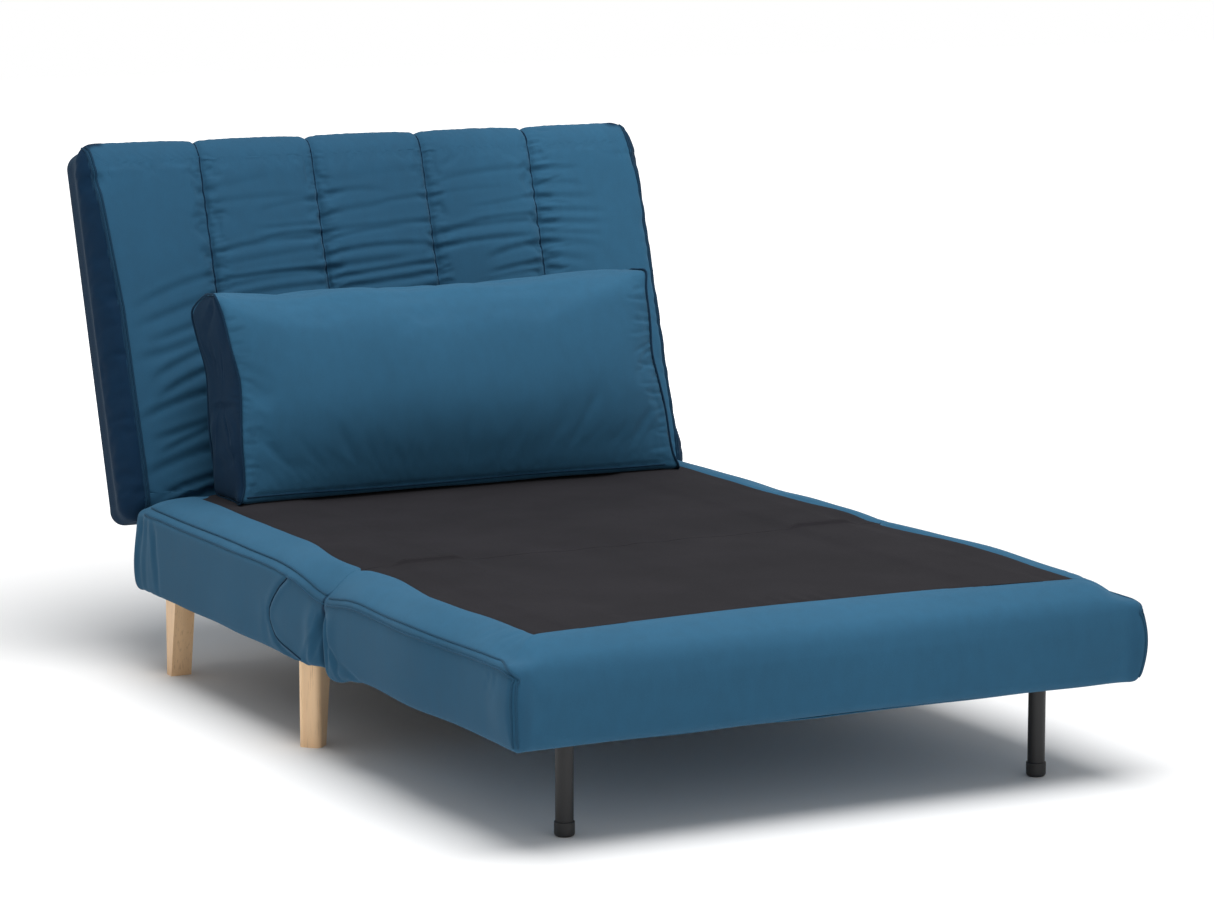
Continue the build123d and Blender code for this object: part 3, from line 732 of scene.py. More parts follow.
def front_extra(x, y, z):
    """The front section's unevenness: creases, sagging hem, bellied sides and lowered corners."""
    v = y - FOLD_Y
    wall = side_weight(x, z)
    push = section_waves(x, y, z, 11, 0.16)
    side_lines = [(-0.01, 0.228, -0.026, 0.15, 0.005, 0.0036, 0.003),
                  (-0.022, 0.185, -0.06, 0.146, 0.004, 0.0026, 0.003),
                  (-0.04, 0.165, -0.12, 0.143, 0.005, 0.003, 0.003),
                  (-0.56, 0.25, -0.545, 0.215, 0.004, 0.0015, 0.0),
                  (-0.575, 0.25, -0.566, 0.205, 0.004, 0.0015, 0.0)]
    push = push + wall * creases(v, z, side_lines)
    top = smoothstep(0.262, 0.27, z) * from_side(x, 0.1, 0.05)
    top_lines = [(-0.52, 0.47, -0.545, 0.43, 0.004, 0.0022, 0.0),
                 (-0.54, 0.478, -0.552, 0.44, 0.0035, 0.0018, 0.0),
                 (-0.48, 0.476, -0.5, 0.445, 0.004, 0.0012, 0.0),
                 (-0.5, 0.478, -0.515, 0.45, 0.0035, 0.0012, 0.0)]
    push = push + top * creases(v, np.abs(x), top_lines)
    face = smoothstep(FRONT_Y + 0.03, FRONT_Y + 0.008, y)
    front_lines = [(-0.478, 0.245, -0.44, 0.18, 0.006, 0.0012, 0.002),
                   (-0.47, 0.16, -0.4, 0.148, 0.005, 0.0015, 0.002),
                   (0.47, 0.2, 0.43, 0.15, 0.006, 0.0012, 0.002)]
    push = push + face * creases(x, z, front_lines)
    hang = smoothstep(0.175, 0.145, z) * wall
    push = push + hang * 0.004 * bell(v + 0.06, 0.05)
    near_front = smoothstep(FRONT_Y + 0.085, FRONT_Y + 0.02, y)
    push = push + wall * near_front * 0.006 * bell(z - 0.2, 0.045)
    lift = border_dip(x, y) * smoothstep(0.2, 0.255, z)
    corner = smoothstep(0.425, 0.487, np.abs(x)) * smoothstep(FRONT_Y + 0.13, FRONT_Y + 0.005, y)
    lift = lift - 0.013 * corner * smoothstep(0.256, 0.276, z)
    lift = lift - hang * (0.011 * bell(v + 0.035, 0.03) + 0.009 * bell(v, 0.02))
    bow = side_bow(v) * smoothstep(0.36, 0.45, np.abs(x)) * (0.55 + 0.45 * smoothstep(0.15, 0.24, z))
    return push, lift, fold_pinch(y, z) + border_shift(x, y, z) - bow


def gusset_line(count):
    """The curved seam where the fold gusset is sewn to the rear section's side, as y from
    the fold and z."""
    shape = [(0.136, 0.254), (0.163, 0.235), (0.19, 0.208), (0.2, 0.187), (0.186, 0.168),
             (0.16, 0.156), (0.12, 0.148), (0.085, 0.141)]
    return smooth_path(shape, count)


def near_line(u, v, line):
    """Distance from each point to a line, and which side of it the point is on."""
    best = np.full(u.shape, 1e9)
    side = np.zeros(u.shape)
    for (u0, v0), (u1, v1) in zip(line, line[1:]):
        du, dv = u1 - u0, v1 - v0
        t = np.clip(((u - u0) * du + (v - v0) * dv) / (du * du + dv * dv), 0, 1)
        gap = np.hypot(u - u0 - t * du, v - v0 - t * dv)
        nearer = gap < best
        best = np.where(nearer, gap, best)
        side = np.where(nearer, np.sign((u - u0) * dv - (v - v0) * du), side)
    return best, side


def rear_extra(x, y, z):
    """The rear section's unevenness: gusset seam, creases, bunched rear edge and sagging hem."""
    v = y - FOLD_Y
    wall = side_weight(x, z)
    push = section_waves(x, y, z, 23, 0.18)
    push = np.where(y > REAR_Y - 0.012, np.minimum(push, 0), push)
    gap, side = near_line(v, z, gusset_line(40))
    second = gap + 0.009 * side
    push = push + wall * (-0.0048 * bell(gap, 0.0026) + 0.002 * bell(gap - 0.008, 0.006)
                          - 0.0014 * bell(second, 0.0022))
    side_lines = [(0.01, 0.222, 0.044, 0.15, 0.006, 0.0042, 0.004),
                  (0.03, 0.185, 0.085, 0.146, 0.005, 0.002, 0.004),
                  (0.205, 0.205, 0.215, 0.15, 0.012, 0.0012, 0.003),
                  (0.672, 0.255, 0.655, 0.15, 0.006, 0.005, 0.006),
                  (0.7, 0.262, 0.706, 0.14, 0.005, 0.0045, 0.002),
                  (0.722, 0.262, 0.73, 0.15, 0.005, 0.005, -0.002)]
    push = push + wall * creases(v, z, side_lines)
    hang = smoothstep(0.18, 0.15, z) * wall
    lift = border_dip(x, y) * smoothstep(0.2, 0.255, z)
    lift = lift - hang * (0.011 * smoothstep(0.0, 0.1, v) + 0.012 * bell(v, 0.02))
    pull = 0.006 * smoothstep(0.69, 0.755, v) * smoothstep(0.16, 0.26, z)
    ear = smoothstep(REAR_Y - 0.02, REAR_Y - 0.004, y) * smoothstep(0.43, 0.47, np.abs(x))
    push = push + 0.003 * ear * smoothstep(0.27, 0.24, z)
    return push, lift, fold_pinch(y, z) + pull + border_shift(x, y, z)


def rim_path(points, row, side):
    """One row of a casing's points along one side, from front to rear."""
    line = points[row]
    keep = (np.sign(line[:, 0]) == side) & (np.abs(line[:, 0]) > SECTION_HALF - 0.032)
    route = line[keep]
    return route[np.argsort(route[:, 1])]


def sheet_surface(name, x, y, z, material, thickness, holes=()):
    """A thin closed sheet of cloth over a grid of points, less its holes (x0, x1, y0, y1)."""
    points = np.stack([x, y, z], 2).reshape(-1, 3)
    faces = []
    for face in grid_faces(*x.shape):
        cx, cy = points[list(face)].mean(0)[:2]
        if not any(x0 < cx < x1 and y0 < cy < y1 for x0, x1, y0, y1 in holes):
            faces.append(face)
    thing = new_object(name, points, faces)
    clean = bmesh.new()
    clean.from_mesh(thing.data)
    bmesh.ops.delete(clean, geom=[v for v in clean.verts if not v.link_faces], context="VERTS")
    clean.to_mesh(thing.data)
    clean.free()
    solid = thing.modifiers.new("thickness", "SOLIDIFY")
    solid.thickness = thickness
    solid.offset = 0
    thing.data.materials.append(material)
    return thing


def flat_size(x, y, z):
    """The size a stretched sheet was cut to: its own width and length over the surface."""
    def run(points):
        return np.linalg.norm(np.diff(points, axis=0), axis=1).sum()
    grid = np.stack([x, y, z], 2)
    return run(grid[len(x) // 2]), run(grid[:, x.shape[1] // 2])


def lay_sheet(name, x, y, z, slot, thickness, body, *nodes, holes=()):
    """A stretched sheet in a slot's cloth, settled on its body; the size it was cut to is worked out but not used.
    """
    sheet = sheet_surface(name, x, y, z, MATERIALS[slot], thickness, holes)
    settle(sheet, body, slot, *nodes)
    width, length = flat_size(x, y, z)


def black_panel(name, body, near, far, far_bow, node):
    """The non-woven top of a section, let into the velvet border, which overlaps its edge."""
    u = np.linspace(-1, 1, 221)
    w = np.linspace(0, 1, 150)
    gu, gw = np.meshgrid(u, w)
    v = near + (far - near) * gw - FOLD_Y
    half = PANEL_HALF + PANEL_TUCK - border_wander(v) + np.where(v < 0, side_bow(v), 0)
    x = gu * half
    end = far + far_bow * (1 - (x / SECTION_HALF) ** 2)
    y = near + (end - near) * gw
    edge = np.maximum(0.022 - (half - np.abs(x)), 0)
    end_edge = np.maximum(0.022 - np.abs(y - end), 0)
    sink = (edge**2 + end_edge**2) * 7.0
    z = PANEL_Z - PANEL_SUNK - sink + PANEL_DIP * rim_dip(y) + waves(x, y, 31, 0.24, 0.0013)
    near_end = bell(y - end, 0.05)
    z = z + near_end * 0.0011 * np.sin(x / 0.0065 + 4 * np.sin(x / 0.06)) * bell(np.sin(x / 0.11), 0.6)
    z = z + bell(y - FOLD_Y, 0.05) * 0.0008 * np.sin(x / 0.02 + 3 * np.sin(x / 0.09))
    over_hinge = bell(np.maximum(np.abs(np.abs(x) - HINGE_X) - 0.036, 0), 0.022)
    sleeve = FOLD_Z + np.sqrt(np.maximum(KNUCKLE_R**2 - (y - FOLD_Y) ** 2, 0)) - 0.0004
    z = z + over_hinge * np.maximum(sleeve - z, 0) + 0.0012 * over_hinge * bell(y - FOLD_Y, 0.01)
    lay_sheet(name, x, y, z, "black_cloth", NONWOVEN_THICK, body, node)


def fold_strips():
    """Black cloth under the panels, between the hinges, across the fold."""
    for name, x0, x1 in (("left", -0.428, -0.372), ("middle", -0.288, 0.288), ("right", 0.372, 0.428)):
        x, y = np.meshgrid(np.linspace(x0, x1, max(12, int((x1 - x0) / 0.005))),
                           FOLD_Y + np.linspace(-0.015, 0.015, 21))
        z = PANEL_Z - 0.0042 + PANEL_DIP * rim_dip(y) + waves(x, y, 5, 0.3, 0.0005)
        strip = sheet_surface(f"fold_strip_{name}", x, y, z, MATERIALS["black_cloth"], 0.001)
        apply_modifiers(strip)
        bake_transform(strip)
        flat_size(x, y, z)


def bottom_sheets():
    """The velvet underside of the front section, slotted for its legs, and the rear dust cover."""
    low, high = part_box("right_leg_channel")
    inset = 0.003
    slots = [(x0 + inset, x1 - inset, low.y + inset, high.y - inset)
             for x0, x1 in ((low.x, high.x), (-high.x, -low.x))]
    near, far = FOLD_Y - 0.022, FRONT_Y + 0.02
    xs = np.unique(np.r_[np.linspace(-SHEET_HALF, SHEET_HALF, 150), [e for s in slots for e in s[:2]]])
    ys = np.unique(np.r_[np.linspace(far, near, 96), slots[0][2:]])
    x, y = np.meshgrid(xs, ys)
    z = np.full(x.shape, BOTTOM_Z - 0.0006) + waves(x, y, 77, 0.2, 0.0012)
    for x0, x1, y0, y1 in slots:
        gap = np.hypot(np.maximum(np.maximum(x0 - x, x - x1), 0),
                       np.maximum(np.maximum(y0 - y, y - y1), 0))
        z = z + 0.005 * bell(gap, 0.006)
    lay_sheet("front_underside", x, y, z, "velvet", VELVET_THICK, "front_section", holes=slots)

    near, far = FOLD_Y + 0.022, REAR_Y - 0.02
    x, y = np.meshgrid(np.linspace(-SHEET_HALF, SHEET_HALF, 120), np.linspace(near, far, 96))
    z = BOTTOM_Z + 0.0012 + waves(x, y, 78, 0.2, 0.0015)
    lay_sheet("rear_dust_sheet", x, y, z, "black_cloth", NONWOVEN_THICK, "base", "rear_dust_cover")


def section_welts(casing, points, body, nodes, name, corners):
    """A doubled welt along each side's rim; on the front section it turns down the corners."""
    row = int(np.argmin(np.abs(points[:, points.shape[1] // 8, 2] - RIM_Z)))
    for side, label in ((-1, "left"), (1, "right")):
        for part, shift in (("upper", -1), ("lower", 1)):
            line = rim_path(points, row + shift, side)
            far = line[np.argmax(np.abs(line[:, 1] - FOLD_Y)), 1]
            ends = (np.abs(line[:, 1] - FOLD_Y) > 0.0006) & (np.abs(line[:, 1] - far) > 0.016)
            line = smooth_path(line[ends][::3], 170)
            v = line[:, 1] - FOLD_Y
            inset = 0.009 * smoothstep(0.02, 0.22, v) - 0.0034 * shift
            inset += 0.001 * waves(line[:, 1], line[:, 0], 90 + shift, 0.15, 1.0)
            slope = np.array((-side, 0, -1)) / math.sqrt(2)
            across = np.array((-side, 0, 1)) / math.sqrt(2)
            places = line + inset[:, None] * across - 0.06 * slope
            line = nearest_on(casing, places, slope) - 0.0004 * slope
            if corners:
                z = np.linspace(0.15, 0.249, 26)
                inward = np.array((-side, 1, 0)) / math.sqrt(2)
                aside = (0.0035 * shift + 0.0005 * np.sin(z * 90))[:, None]
                along = np.array((side, 1, 0)) / math.sqrt(2) * aside
                aim = np.stack([0 * z + side * (SECTION_HALF - 0.012), 0 * z + FRONT_Y + 0.012, z], 1)
                down = nearest_on(casing, aim + along - 0.1 * inward, inward) - 0.0006 * inward
                path = smooth_path(np.vstack([down[::2], line[4::6]]), 300)
                turn = np.clip((FRONT_Y + 0.055 - path[:, 1]) / 0.04, 0, 1)
                facing = np.stack([0 * turn - side, turn, turn - 1], 1)
                facing /= np.linalg.norm(facing, axis=1)[:, None]
                line = nearest_on(casing, path - 0.05 * facing, facing) - 0.0004 * facing[0]
            seam_cord(f"{name}_{label}_{part}_welt", line, WELT_R, body, 0.42, *nodes)
            nodes = ()


def seam_cord(name, line, radius, body, dark, *nodes, closed=False):
    """A thin sewn cord of the darker velvet along a line, with painted shade of the given level over it."""
    cord = tube(name, line, radius, MATERIALS["velvet_dark"], closed=closed)
    mark_painted_shade(cord, np.full(len(cord.data.vertices), dark))
    settle(cord, body, "velvet_dark", *nodes)


def sewn_line(casing, places, direction, count, step=1):
    """A smooth line on a casing, under the places seen along the direction."""
    return smooth_path(nearest_on(casing, places, direction)[::step], count)


def gusset_seams(casing):
    """The sewn line where each fold gusset meets the rear section's side."""
    for side, label in ((-1, "left"), (1, "right")):
        line = gusset_line(60)
        places = np.stack([0 * line[:, 0] + side * 0.6, FOLD_Y + line[:, 0], line[:, 1]], 1)
        route = sewn_line(casing, places, (-side, 0, 0), 160)
        seam_cord(f"{label}_gusset_seam", route, GUSSET_SEAM_R, "base", 0.9)


def fold_shade(casing):
    """Painted shade: the velvet is darkened in the pinch at the fold, a little inside the gusset, and on all
    upright faces, most on the side walls.
    """
    x, y, z = coordinates(casing.data).T
    v = y - FOLD_Y - fold_lean(z)
    wall = from_side(x, 0.03, 0.015) * smoothstep(0.262, 0.245, z)
    dark = 0.9 * bell(v, 0.0065) + 0.4 * bell(v - 0.004, 0.02) * smoothstep(0.25, 0.18, z)
    # painted shade on the upright faces, darker than the lit top
    upright = smoothstep(0.272, 0.25, z)
    mark_painted_shade(casing, np.maximum(wall * dark, (0.18 + 0.14 * wall) * upright))


def make_section(name, y_far, far_profile, far_bow, extra, body, nodes, corners):
    """One seat section's casing and welts; the first of its nodes is the piping."""
    piping, *covered = nodes
    casing, points = section_casing(f"{name}_section_casing", y_far, far_profile, far_bow, extra)
    finish_mesh(casing, MATERIALS["velvet"])
    refine(casing)
    fold_shade(casing)
    settle(casing, body, "velvet", *covered)
    section_welts(casing, points, body, [piping], name, corners)
    return casing


def make_front_section():
    roll = [(0.075, 0.2775), (0.056, 0.2868), (0.048, 0.2864), (0.039, 0.284),
            (0.03, 0.279), (0.017, 0.269), (0.009, 0.258), (0.0035, 0.245),
            (-0.001, 0.22), (-0.0015, 0.19), (0.0, 0.165), (0.003, 0.151),
            (0.012, 0.1425), (0.034, 0.1415)]
    nodes = ["front_piping", "front_seat_cover", "front_upper_foam", "front_lower_foam"]
    make_section("front", FRONT_Y, roll, PANEL_BOW, front_extra, "front_section", nodes, True)


def make_rear_section():
    back = [(0.108, 0.274), (0.08, 0.2845), (0.064, 0.284), (0.042, 0.2785),
            (0.022, 0.269), (0.006, 0.2605), (0.0015, 0.256), (0.0, 0.248),
            (0.0, 0.22), (0.0, 0.19), (0.0, 0.165), (0.003, 0.15),
            (0.012, 0.1425), (0.034, 0.1415)]
    nodes = ["rear_piping", "rear_seat_cover", "rear_foam", "left_fold_gusset", "right_fold_gusset"]
    gusset_seams(make_section("rear", REAR_Y, back, 0.0, rear_extra, "base", nodes, False))


# ---- Backrest ----
PIVOT = Vector(JOINTS["backrest_recline"]["pos_m"])
BACK_FOOT = np.array(PIVOT - BACK_UP * PIVOT_UP - BACK_IN * PIVOT_IN)
UP, IN = np.array(BACK_UP), np.array(BACK_IN)
BACK_FACE = 0.01           # the face between crowns, behind the backrest's front
BACK_ROLL = 0.034
BACK_ROLL_DEPTH = 0.026
ARC = 6                     # points in half a corner


def back_place(x, depth, height):
    """Points in the row frame, from the backrest's own across, depth and height."""
    shape = np.broadcast(x, depth, height).shape
    x, depth, height = (np.broadcast_to(a, shape)[..., None] for a in (x, depth, height))
    return BACK_FOOT + depth * IN + height * UP + x * np.array([1.0, 0, 0])


def back_local(points):
    """Across, depth and height of points in the row frame."""
    away = points - BACK_FOOT
    return away[..., 0], away @ IN, away @ UP


def back_outline(inset, across, upward):
    """The backrest's rounded outline, from the middle of its lower left corner."""
    half = BACK_HALF - inset
    low, high = inset, BACK_HEIGHT - inset
    r_low, r_high = max(0.022 - inset, 0.004), max(0.027 - inset, 0.006)
    corners = [(-half + r_low, low + r_low, r_low, 180), (half - r_low, low + r_low, r_low, 270),
               (half - r_high, high - r_high, r_high, 0), (-half + r_high, high - r_high, r_high, 90)]
    points = rounded_outline(corners, 90, (across, upward), 2 * ARC, lambda side, t: t)
    return np.roll(points, -ARC, 0)


def back_shell(name, spacing):
    """The backrest's casing: front, rounded edges, boxing and the turn at the back."""
    across, upward = int(0.93 / spacing), int(0.52 / spacing)
    nx, nh = across + 2 * ARC, upward + 2 * ARC
    outline = back_outline(BACK_ROLL, across, upward)
    bottom = outline[:nx + 1]
    right = outline[nx:nx + nh + 1]
    top = outline[nx + nh:2 * nx + nh + 1][::-1]
    left = np.vstack([outline[2 * nx + nh:], outline[:1]])[::-1]
    u = np.linspace(0, 1, nx + 1)[None, :, None]
    w = np.linspace(0, 1, nh + 1)[:, None, None]
    face = ((1 - w) * bottom[None] + w * top[None] + (1 - u) * left[:, None] + u * right[:, None]
            - (1 - u) * (1 - w) * bottom[0] - u * (1 - w) * bottom[-1]
            - (1 - u) * w * top[0] - u * w * top[-1])
    points = [back_place(face[..., 0], BACK_FACE, face[..., 1]).reshape(-1, 3)]
    faces = grid_faces(nh + 1, nx + 1)
    index = np.arange((nh + 1) * (nx + 1)).reshape(nh + 1, nx + 1)
    loop = list(index[0, :-1]) + list(index[:-1, -1]) + list(index[-1, :0:-1]) + list(index[:0:-1, 0])
    profile = []
    for step in range(1, 9):
        angle = math.pi / 2 * step / 8
        profile.append((BACK_ROLL * (1 - math.sin(angle)),
                        BACK_FACE + BACK_ROLL_DEPTH * (1 - math.cos(angle))))
    steps = int(0.056 / spacing)
    start = BACK_FACE + BACK_ROLL_DEPTH
    profile += [(0.0, start + (0.094 - start) * k / steps) for k in range(1, steps + 1)]
    profile += [(0.0012, 0.099), (0.005, 0.1045), (0.012, 0.1068), (0.024, 0.1066), (0.045, 0.1055)]
    for inset, depth in profile:
        outline = back_outline(inset, across, upward)
        points.append(back_place(outline[:, 0], depth, outline[:, 1]))
    first, count = index.size, len(loop)
    for k in range(count):
        following = (k + 1) % count
        faces.append((loop[k], loop[following], first + following, first + k))
    faces += grid_faces(len(profile), count, close_columns=True, start=first)
    return new_object(name, np.vstack(points), faces)


def channel_shape(points):
    """Crowned channels between the seams, which run over the top edge."""
    x, depth, height = back_local(points)
    edges = [-0.5, *CHANNEL_SEAMS, 0.5]
    crown = np.zeros(len(x))
    for a, b in zip(edges, edges[1:]):
        t = (x - (a + b) / 2) / ((b - a) / 2)
        t = np.where(np.abs(x) > 0.4, t * 0.4, t)       # the outer channels stay full to the edge
        crown = np.where((x >= a) & (x <= b), 0.0098 * (1 - np.abs(t) ** 4), crown)
    crown = crown * (1 - 0.62 * smoothstep(0.56, 0.605, height))
    for seam in CHANNEL_SEAMS:
        crown = crown - 0.003 * bell(x - seam, 0.0048)
    fade = smoothstep(0.07, 0.028, depth) * smoothstep(-0.01, 0.03, height)
    foot = (smoothstep(0.03, 0.0, height) * smoothstep(0.012, 0.04, depth)
            * smoothstep(0.105, 0.09, depth))
    return crown * fade + 0.003 * foot


def channel_creases():
    """Long creases across the channels: near level, rising to the right, dense below the top."""
    chance = np.random.default_rng(17)
    lines = []
    for number, (a, b) in enumerate(zip((-0.3, -0.1, 0.1), (-0.1, 0.1, 0.3))):
        for h in climb(chance, 0.05 + 0.008 * number, 0.535, 0.014, 0.028):
            strength = 1.0 - 0.62 * float(smoothstep(0.43, 0.53, h))
            rise = chance.uniform(0.006, 0.024)
            if chance.uniform() < 0.62:
                near, far = chance.uniform(-0.012, 0.004), chance.uniform(-0.012, 0.004)
            elif chance.uniform() < 0.5:
                near, far = -0.012, chance.uniform(0.05, 0.1)
            else:
                near, far = chance.uniform(0.05, 0.1), -0.012
            lines.append((a + near, h, b - far, h + rise, chance.uniform(0.0038, 0.0068),
                          0.0043 * strength * chance.uniform(0.5, 1.2), chance.uniform(-0.008, 0.003)))
    for h in climb(chance, 0.0, 0.345, 0.024, 0.036):
        strength = 0.55 + 0.6 * float(smoothstep(0.34, 0.15, h))
        lines.append((-0.47 + chance.uniform(0, 0.045), h, -0.298, h + chance.uniform(0.03, 0.055),
                      chance.uniform(0.006, 0.0095), 0.006 * strength, chance.uniform(-0.01, 0.002)))
    for h in climb(chance, 0.05, 0.55, 0.018, 0.03):
        drop = 0.035 * (1 - h / 0.55)
        lines.append((0.29, h + drop, 0.305 + chance.uniform(0.06, 0.12), h - drop * 0.5,
                      chance.uniform(0.0045, 0.0075), 0.0036 * chance.uniform(0.6, 1.1),
                      chance.uniform(-0.004, 0.004)))
    return lines


CREASES = channel_creases()


def broad_folds(points):
    """The long creases, on the backrest's front only."""
    x, depth, height = back_local(points)
    return smoothstep(0.045, 0.022, depth) * creases(x, height, CREASES, 0.7)


def steeper_below(height):
    """The tilt of the right-hand seam's gathers, which run down near the seat."""
    return -0.25 * max(0.0, 1 - height / 0.3)


def seam_puckers(points):
    """The seams' sharp lines, and short gathers along both sides of each."""
    x, depth, height = back_local(points)
    chance = np.random.default_rng(29)
    total = np.zeros(len(x))
    front = smoothstep(0.06, 0.03, depth)
    for number, seam in enumerate(CHANNEL_SEAMS):
        total = total - 0.003 * bell(x - seam, 0.0018)
        for side, reach, depth_now in ((-1, 0.015, 0.0007), (1, 0.022, 0.0011)):
            if side == 1 and number == 3:
                reach, depth_now = 0.04, 0.0015
            close = (np.abs(x - seam - side * reach) < reach * 1.9) & (front > 0)
            lines = gathers(chance, climb(chance, 0.03, 0.66, 0.007, 0.014), seam, 0.001, side * reach,
                            0.25, (0.0019, 0.003), depth_now, steeper_below if number == 3 else None)
            reach_h = height[close] + np.maximum(depth[close] - BACK_FACE, 0)
            total[close] += creases(x[close], reach_h, lines)
    return total * front + front * 0.35 * creases(x, height, CREASES, 0.5)


def nearest_on(thing, places, directions):
    """Where rays from the places meet a piece, along one direction or one for each place."""
    mesh = thing.data
    tree = BVHTree.FromPolygons([v.co for v in mesh.vertices],
                                [tuple(p.vertices) for p in mesh.polygons])
    directions = np.broadcast_to(directions, np.shape(places))
    hits = [tree.ray_cast(Vector(place), Vector(direction))[0]
            for place, direction in zip(places, directions)]
    return np.array([hit for hit in hits if hit is not None])


def welt_inset(height, side):
    """How far the side welts lie in from the backrest's edges; the left one is further in below."""
    left = np.interp(height, (0, 0.34, 0.61), (0.029, 0.026, 0.007))
    return np.where(side < 0, left, 0.01)


def back_bulge(x, height):
    """The right-hand channel bellies out past the frame below its top corner."""
    below = smoothstep(BACK_HEIGHT + 0.02, BACK_HEIGHT - 0.16, height)
    return 0.012 * below * smoothstep(0.3, 0.47, x)


def back_seams(casing):
    """The sewn line at the bottom of each channel seam, over the top edge and down behind it."""
    for number, seam in enumerate(CHANNEL_SEAMS):
        height = np.linspace(0.02, BACK_HEIGHT - 0.012, 190)
        line = nearest_on(casing, back_place(seam, -0.1, height), BACK_IN)
        depth = np.linspace(0.02, 0.09, 16)
        top = nearest_on(casing, back_place(seam, depth, BACK_HEIGHT + 0.05), -BACK_UP)
        line = smooth_path(np.vstack([line[::2], top]), 330)
        line[:, 0] += 0.0006 * np.sin(np.arange(330) / 2.6 + number)
        seam_cord(f"backrest_seam_{number + 1}", line, CHANNEL_SEAM_R, "backrest", 1.0)


def make_backrest():
    casing = back_shell("backrest_casing", 0.0056)
    finish_mesh(casing, MATERIALS["velvet"])
    push_out(casing, lambda p: channel_shape(p) + broad_folds(p))
    x, depth, height = back_local(coordinates(casing.data))
    on_seam = np.min([np.abs(x - seam) for seam in CHANNEL_SEAMS], axis=0) < 0.004
    hold = np.where((depth > 0.04) | on_seam | (height < 0.03), 1.0, 0.0)
    hold = np.maximum(hold, np.where(height > BACK_HEIGHT - 0.05, 0.6, 0.0))
    inflate(casing, hold, 1.6, 0.045, 0.007)
    points = coordinates(casing.data)
    ahead = np.minimum(back_local(points)[1] + 0.001, 0)
    set_coordinates(casing.data, points - 0.85 * ahead[:, None] * IN)
    refine(casing)
    push_out(casing, seam_puckers)
    points = coordinates(casing.data)
    x, depth, height = back_local(points)
    points[:, 0] += back_bulge(x, height)
    set_coordinates(casing.data, points)
    # painted shade: the boxing and the cloth over the top are darkened most, the front more on the left than the
    # right
    edge = np.abs(x) - (BACK_HALF - welt_inset(height, np.sign(x)))
    boxing = smoothstep(-0.001, 0.002, edge)
    near_side = smoothstep(BACK_HALF - 0.05, BACK_HALF - 0.03, np.abs(x))
    turned = smoothstep(0.01, 0.022, depth) * near_side
    boxing = np.maximum(boxing, turned)
    over_top = (smoothstep(BACK_HEIGHT - 0.01, BACK_HEIGHT - 0.002, height)
                * smoothstep(0.03, 0.045, depth))
    face = 0.34 - 0.22 * smoothstep(0.05, 0.45, x)
    mark_painted_shade(casing, np.maximum(np.maximum(boxing, 0.8 * over_top), face))
    settle(casing, "backrest", "velvet", "backrest_cushion", "backrest_foam")

    for side, label in ((-1, "left"), (1, "right")):
        for part in range(2):
            height = np.linspace(0.012, BACK_HEIGHT - 0.0035, 150)
            inset = welt_inset(height, side) + 0.0046 * part
            across = side * (BACK_HALF - inset)
            places = back_place(across + back_bulge(across, height), -0.1, height)
            line = nearest_on(casing, places, BACK_IN)
            line = smooth_path(np.vstack([line[:-4:3], line[-3:]]), 190) + 0.0004 * -IN
            seam_cord(f"backrest_{label}_welt_{part + 1}", line, BACK_WELT_R, "backrest", 0.8)

    back_seams(casing)
    half, inset = 0.472, 0.028
    x, height = np.meshgrid(np.linspace(-half, half, 120),
                            np.linspace(inset, BACK_HEIGHT - inset, 80))
    bulge = waves(x, height, 41, 0.25, 0.0009)
    place = back_place(x, BACK_THICK - 0.0022 + bulge, height)
    lay_sheet("backrest_back_sheet", place[..., 0], place[..., 1], place[..., 2], "velvet",
              VELVET_THICK, "backrest", "backrest_back_cover")


# ---- Pillow ----
PILLOW_LOW, PILLOW_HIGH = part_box("pillow_cover")
PILLOW_MID = (PILLOW_LOW.x + PILLOW_HIGH.x) / 2
PILLOW_HALF = (PILLOW_HIGH.x - PILLOW_LOW.x) / 2
PILLOW_FOOT, PILLOW_TALL = 0.2885, 0.32


def pillow_share(z):
    """0 at the pillow's foot, 1 at its top."""
    return np.clip((z - PILLOW_FOOT) / PILLOW_TALL, 0, 1)


def pillow_profile(share, count):
    """The pillow's cross-section as (y, z) from the fold line; share is 1 mid-width, 0 at its ends."""
    front = 0.024 * share
    ring_points = [(0.578, PILLOW_FOOT), (0.566, 0.3), (0.572 - 0.9 * front, 0.35),
                   (0.583 - 1.5 * front, 0.43), (0.6 - 1.3 * front, 0.51),
                   (0.618 - 0.7 * front, 0.575), (0.628, 0.6), (0.64, 0.6085), (0.662, 0.6105),
                   (0.682, 0.6065), (0.718 + 0.006 * share, 0.592), (0.745 + 0.012 * share, 0.577),
                   (0.752 + 0.02 * share, 0.562), (0.741 + 0.042 * share, 0.525),
                   (0.722 + 0.045 * share, 0.45), (0.704 + 0.035 * share, 0.37),
                   (0.688 + 0.022 * share, 0.31), (0.676, PILLOW_FOOT), (0.63, 0.288)]
    return smooth_path(ring_points, count, closed=True)


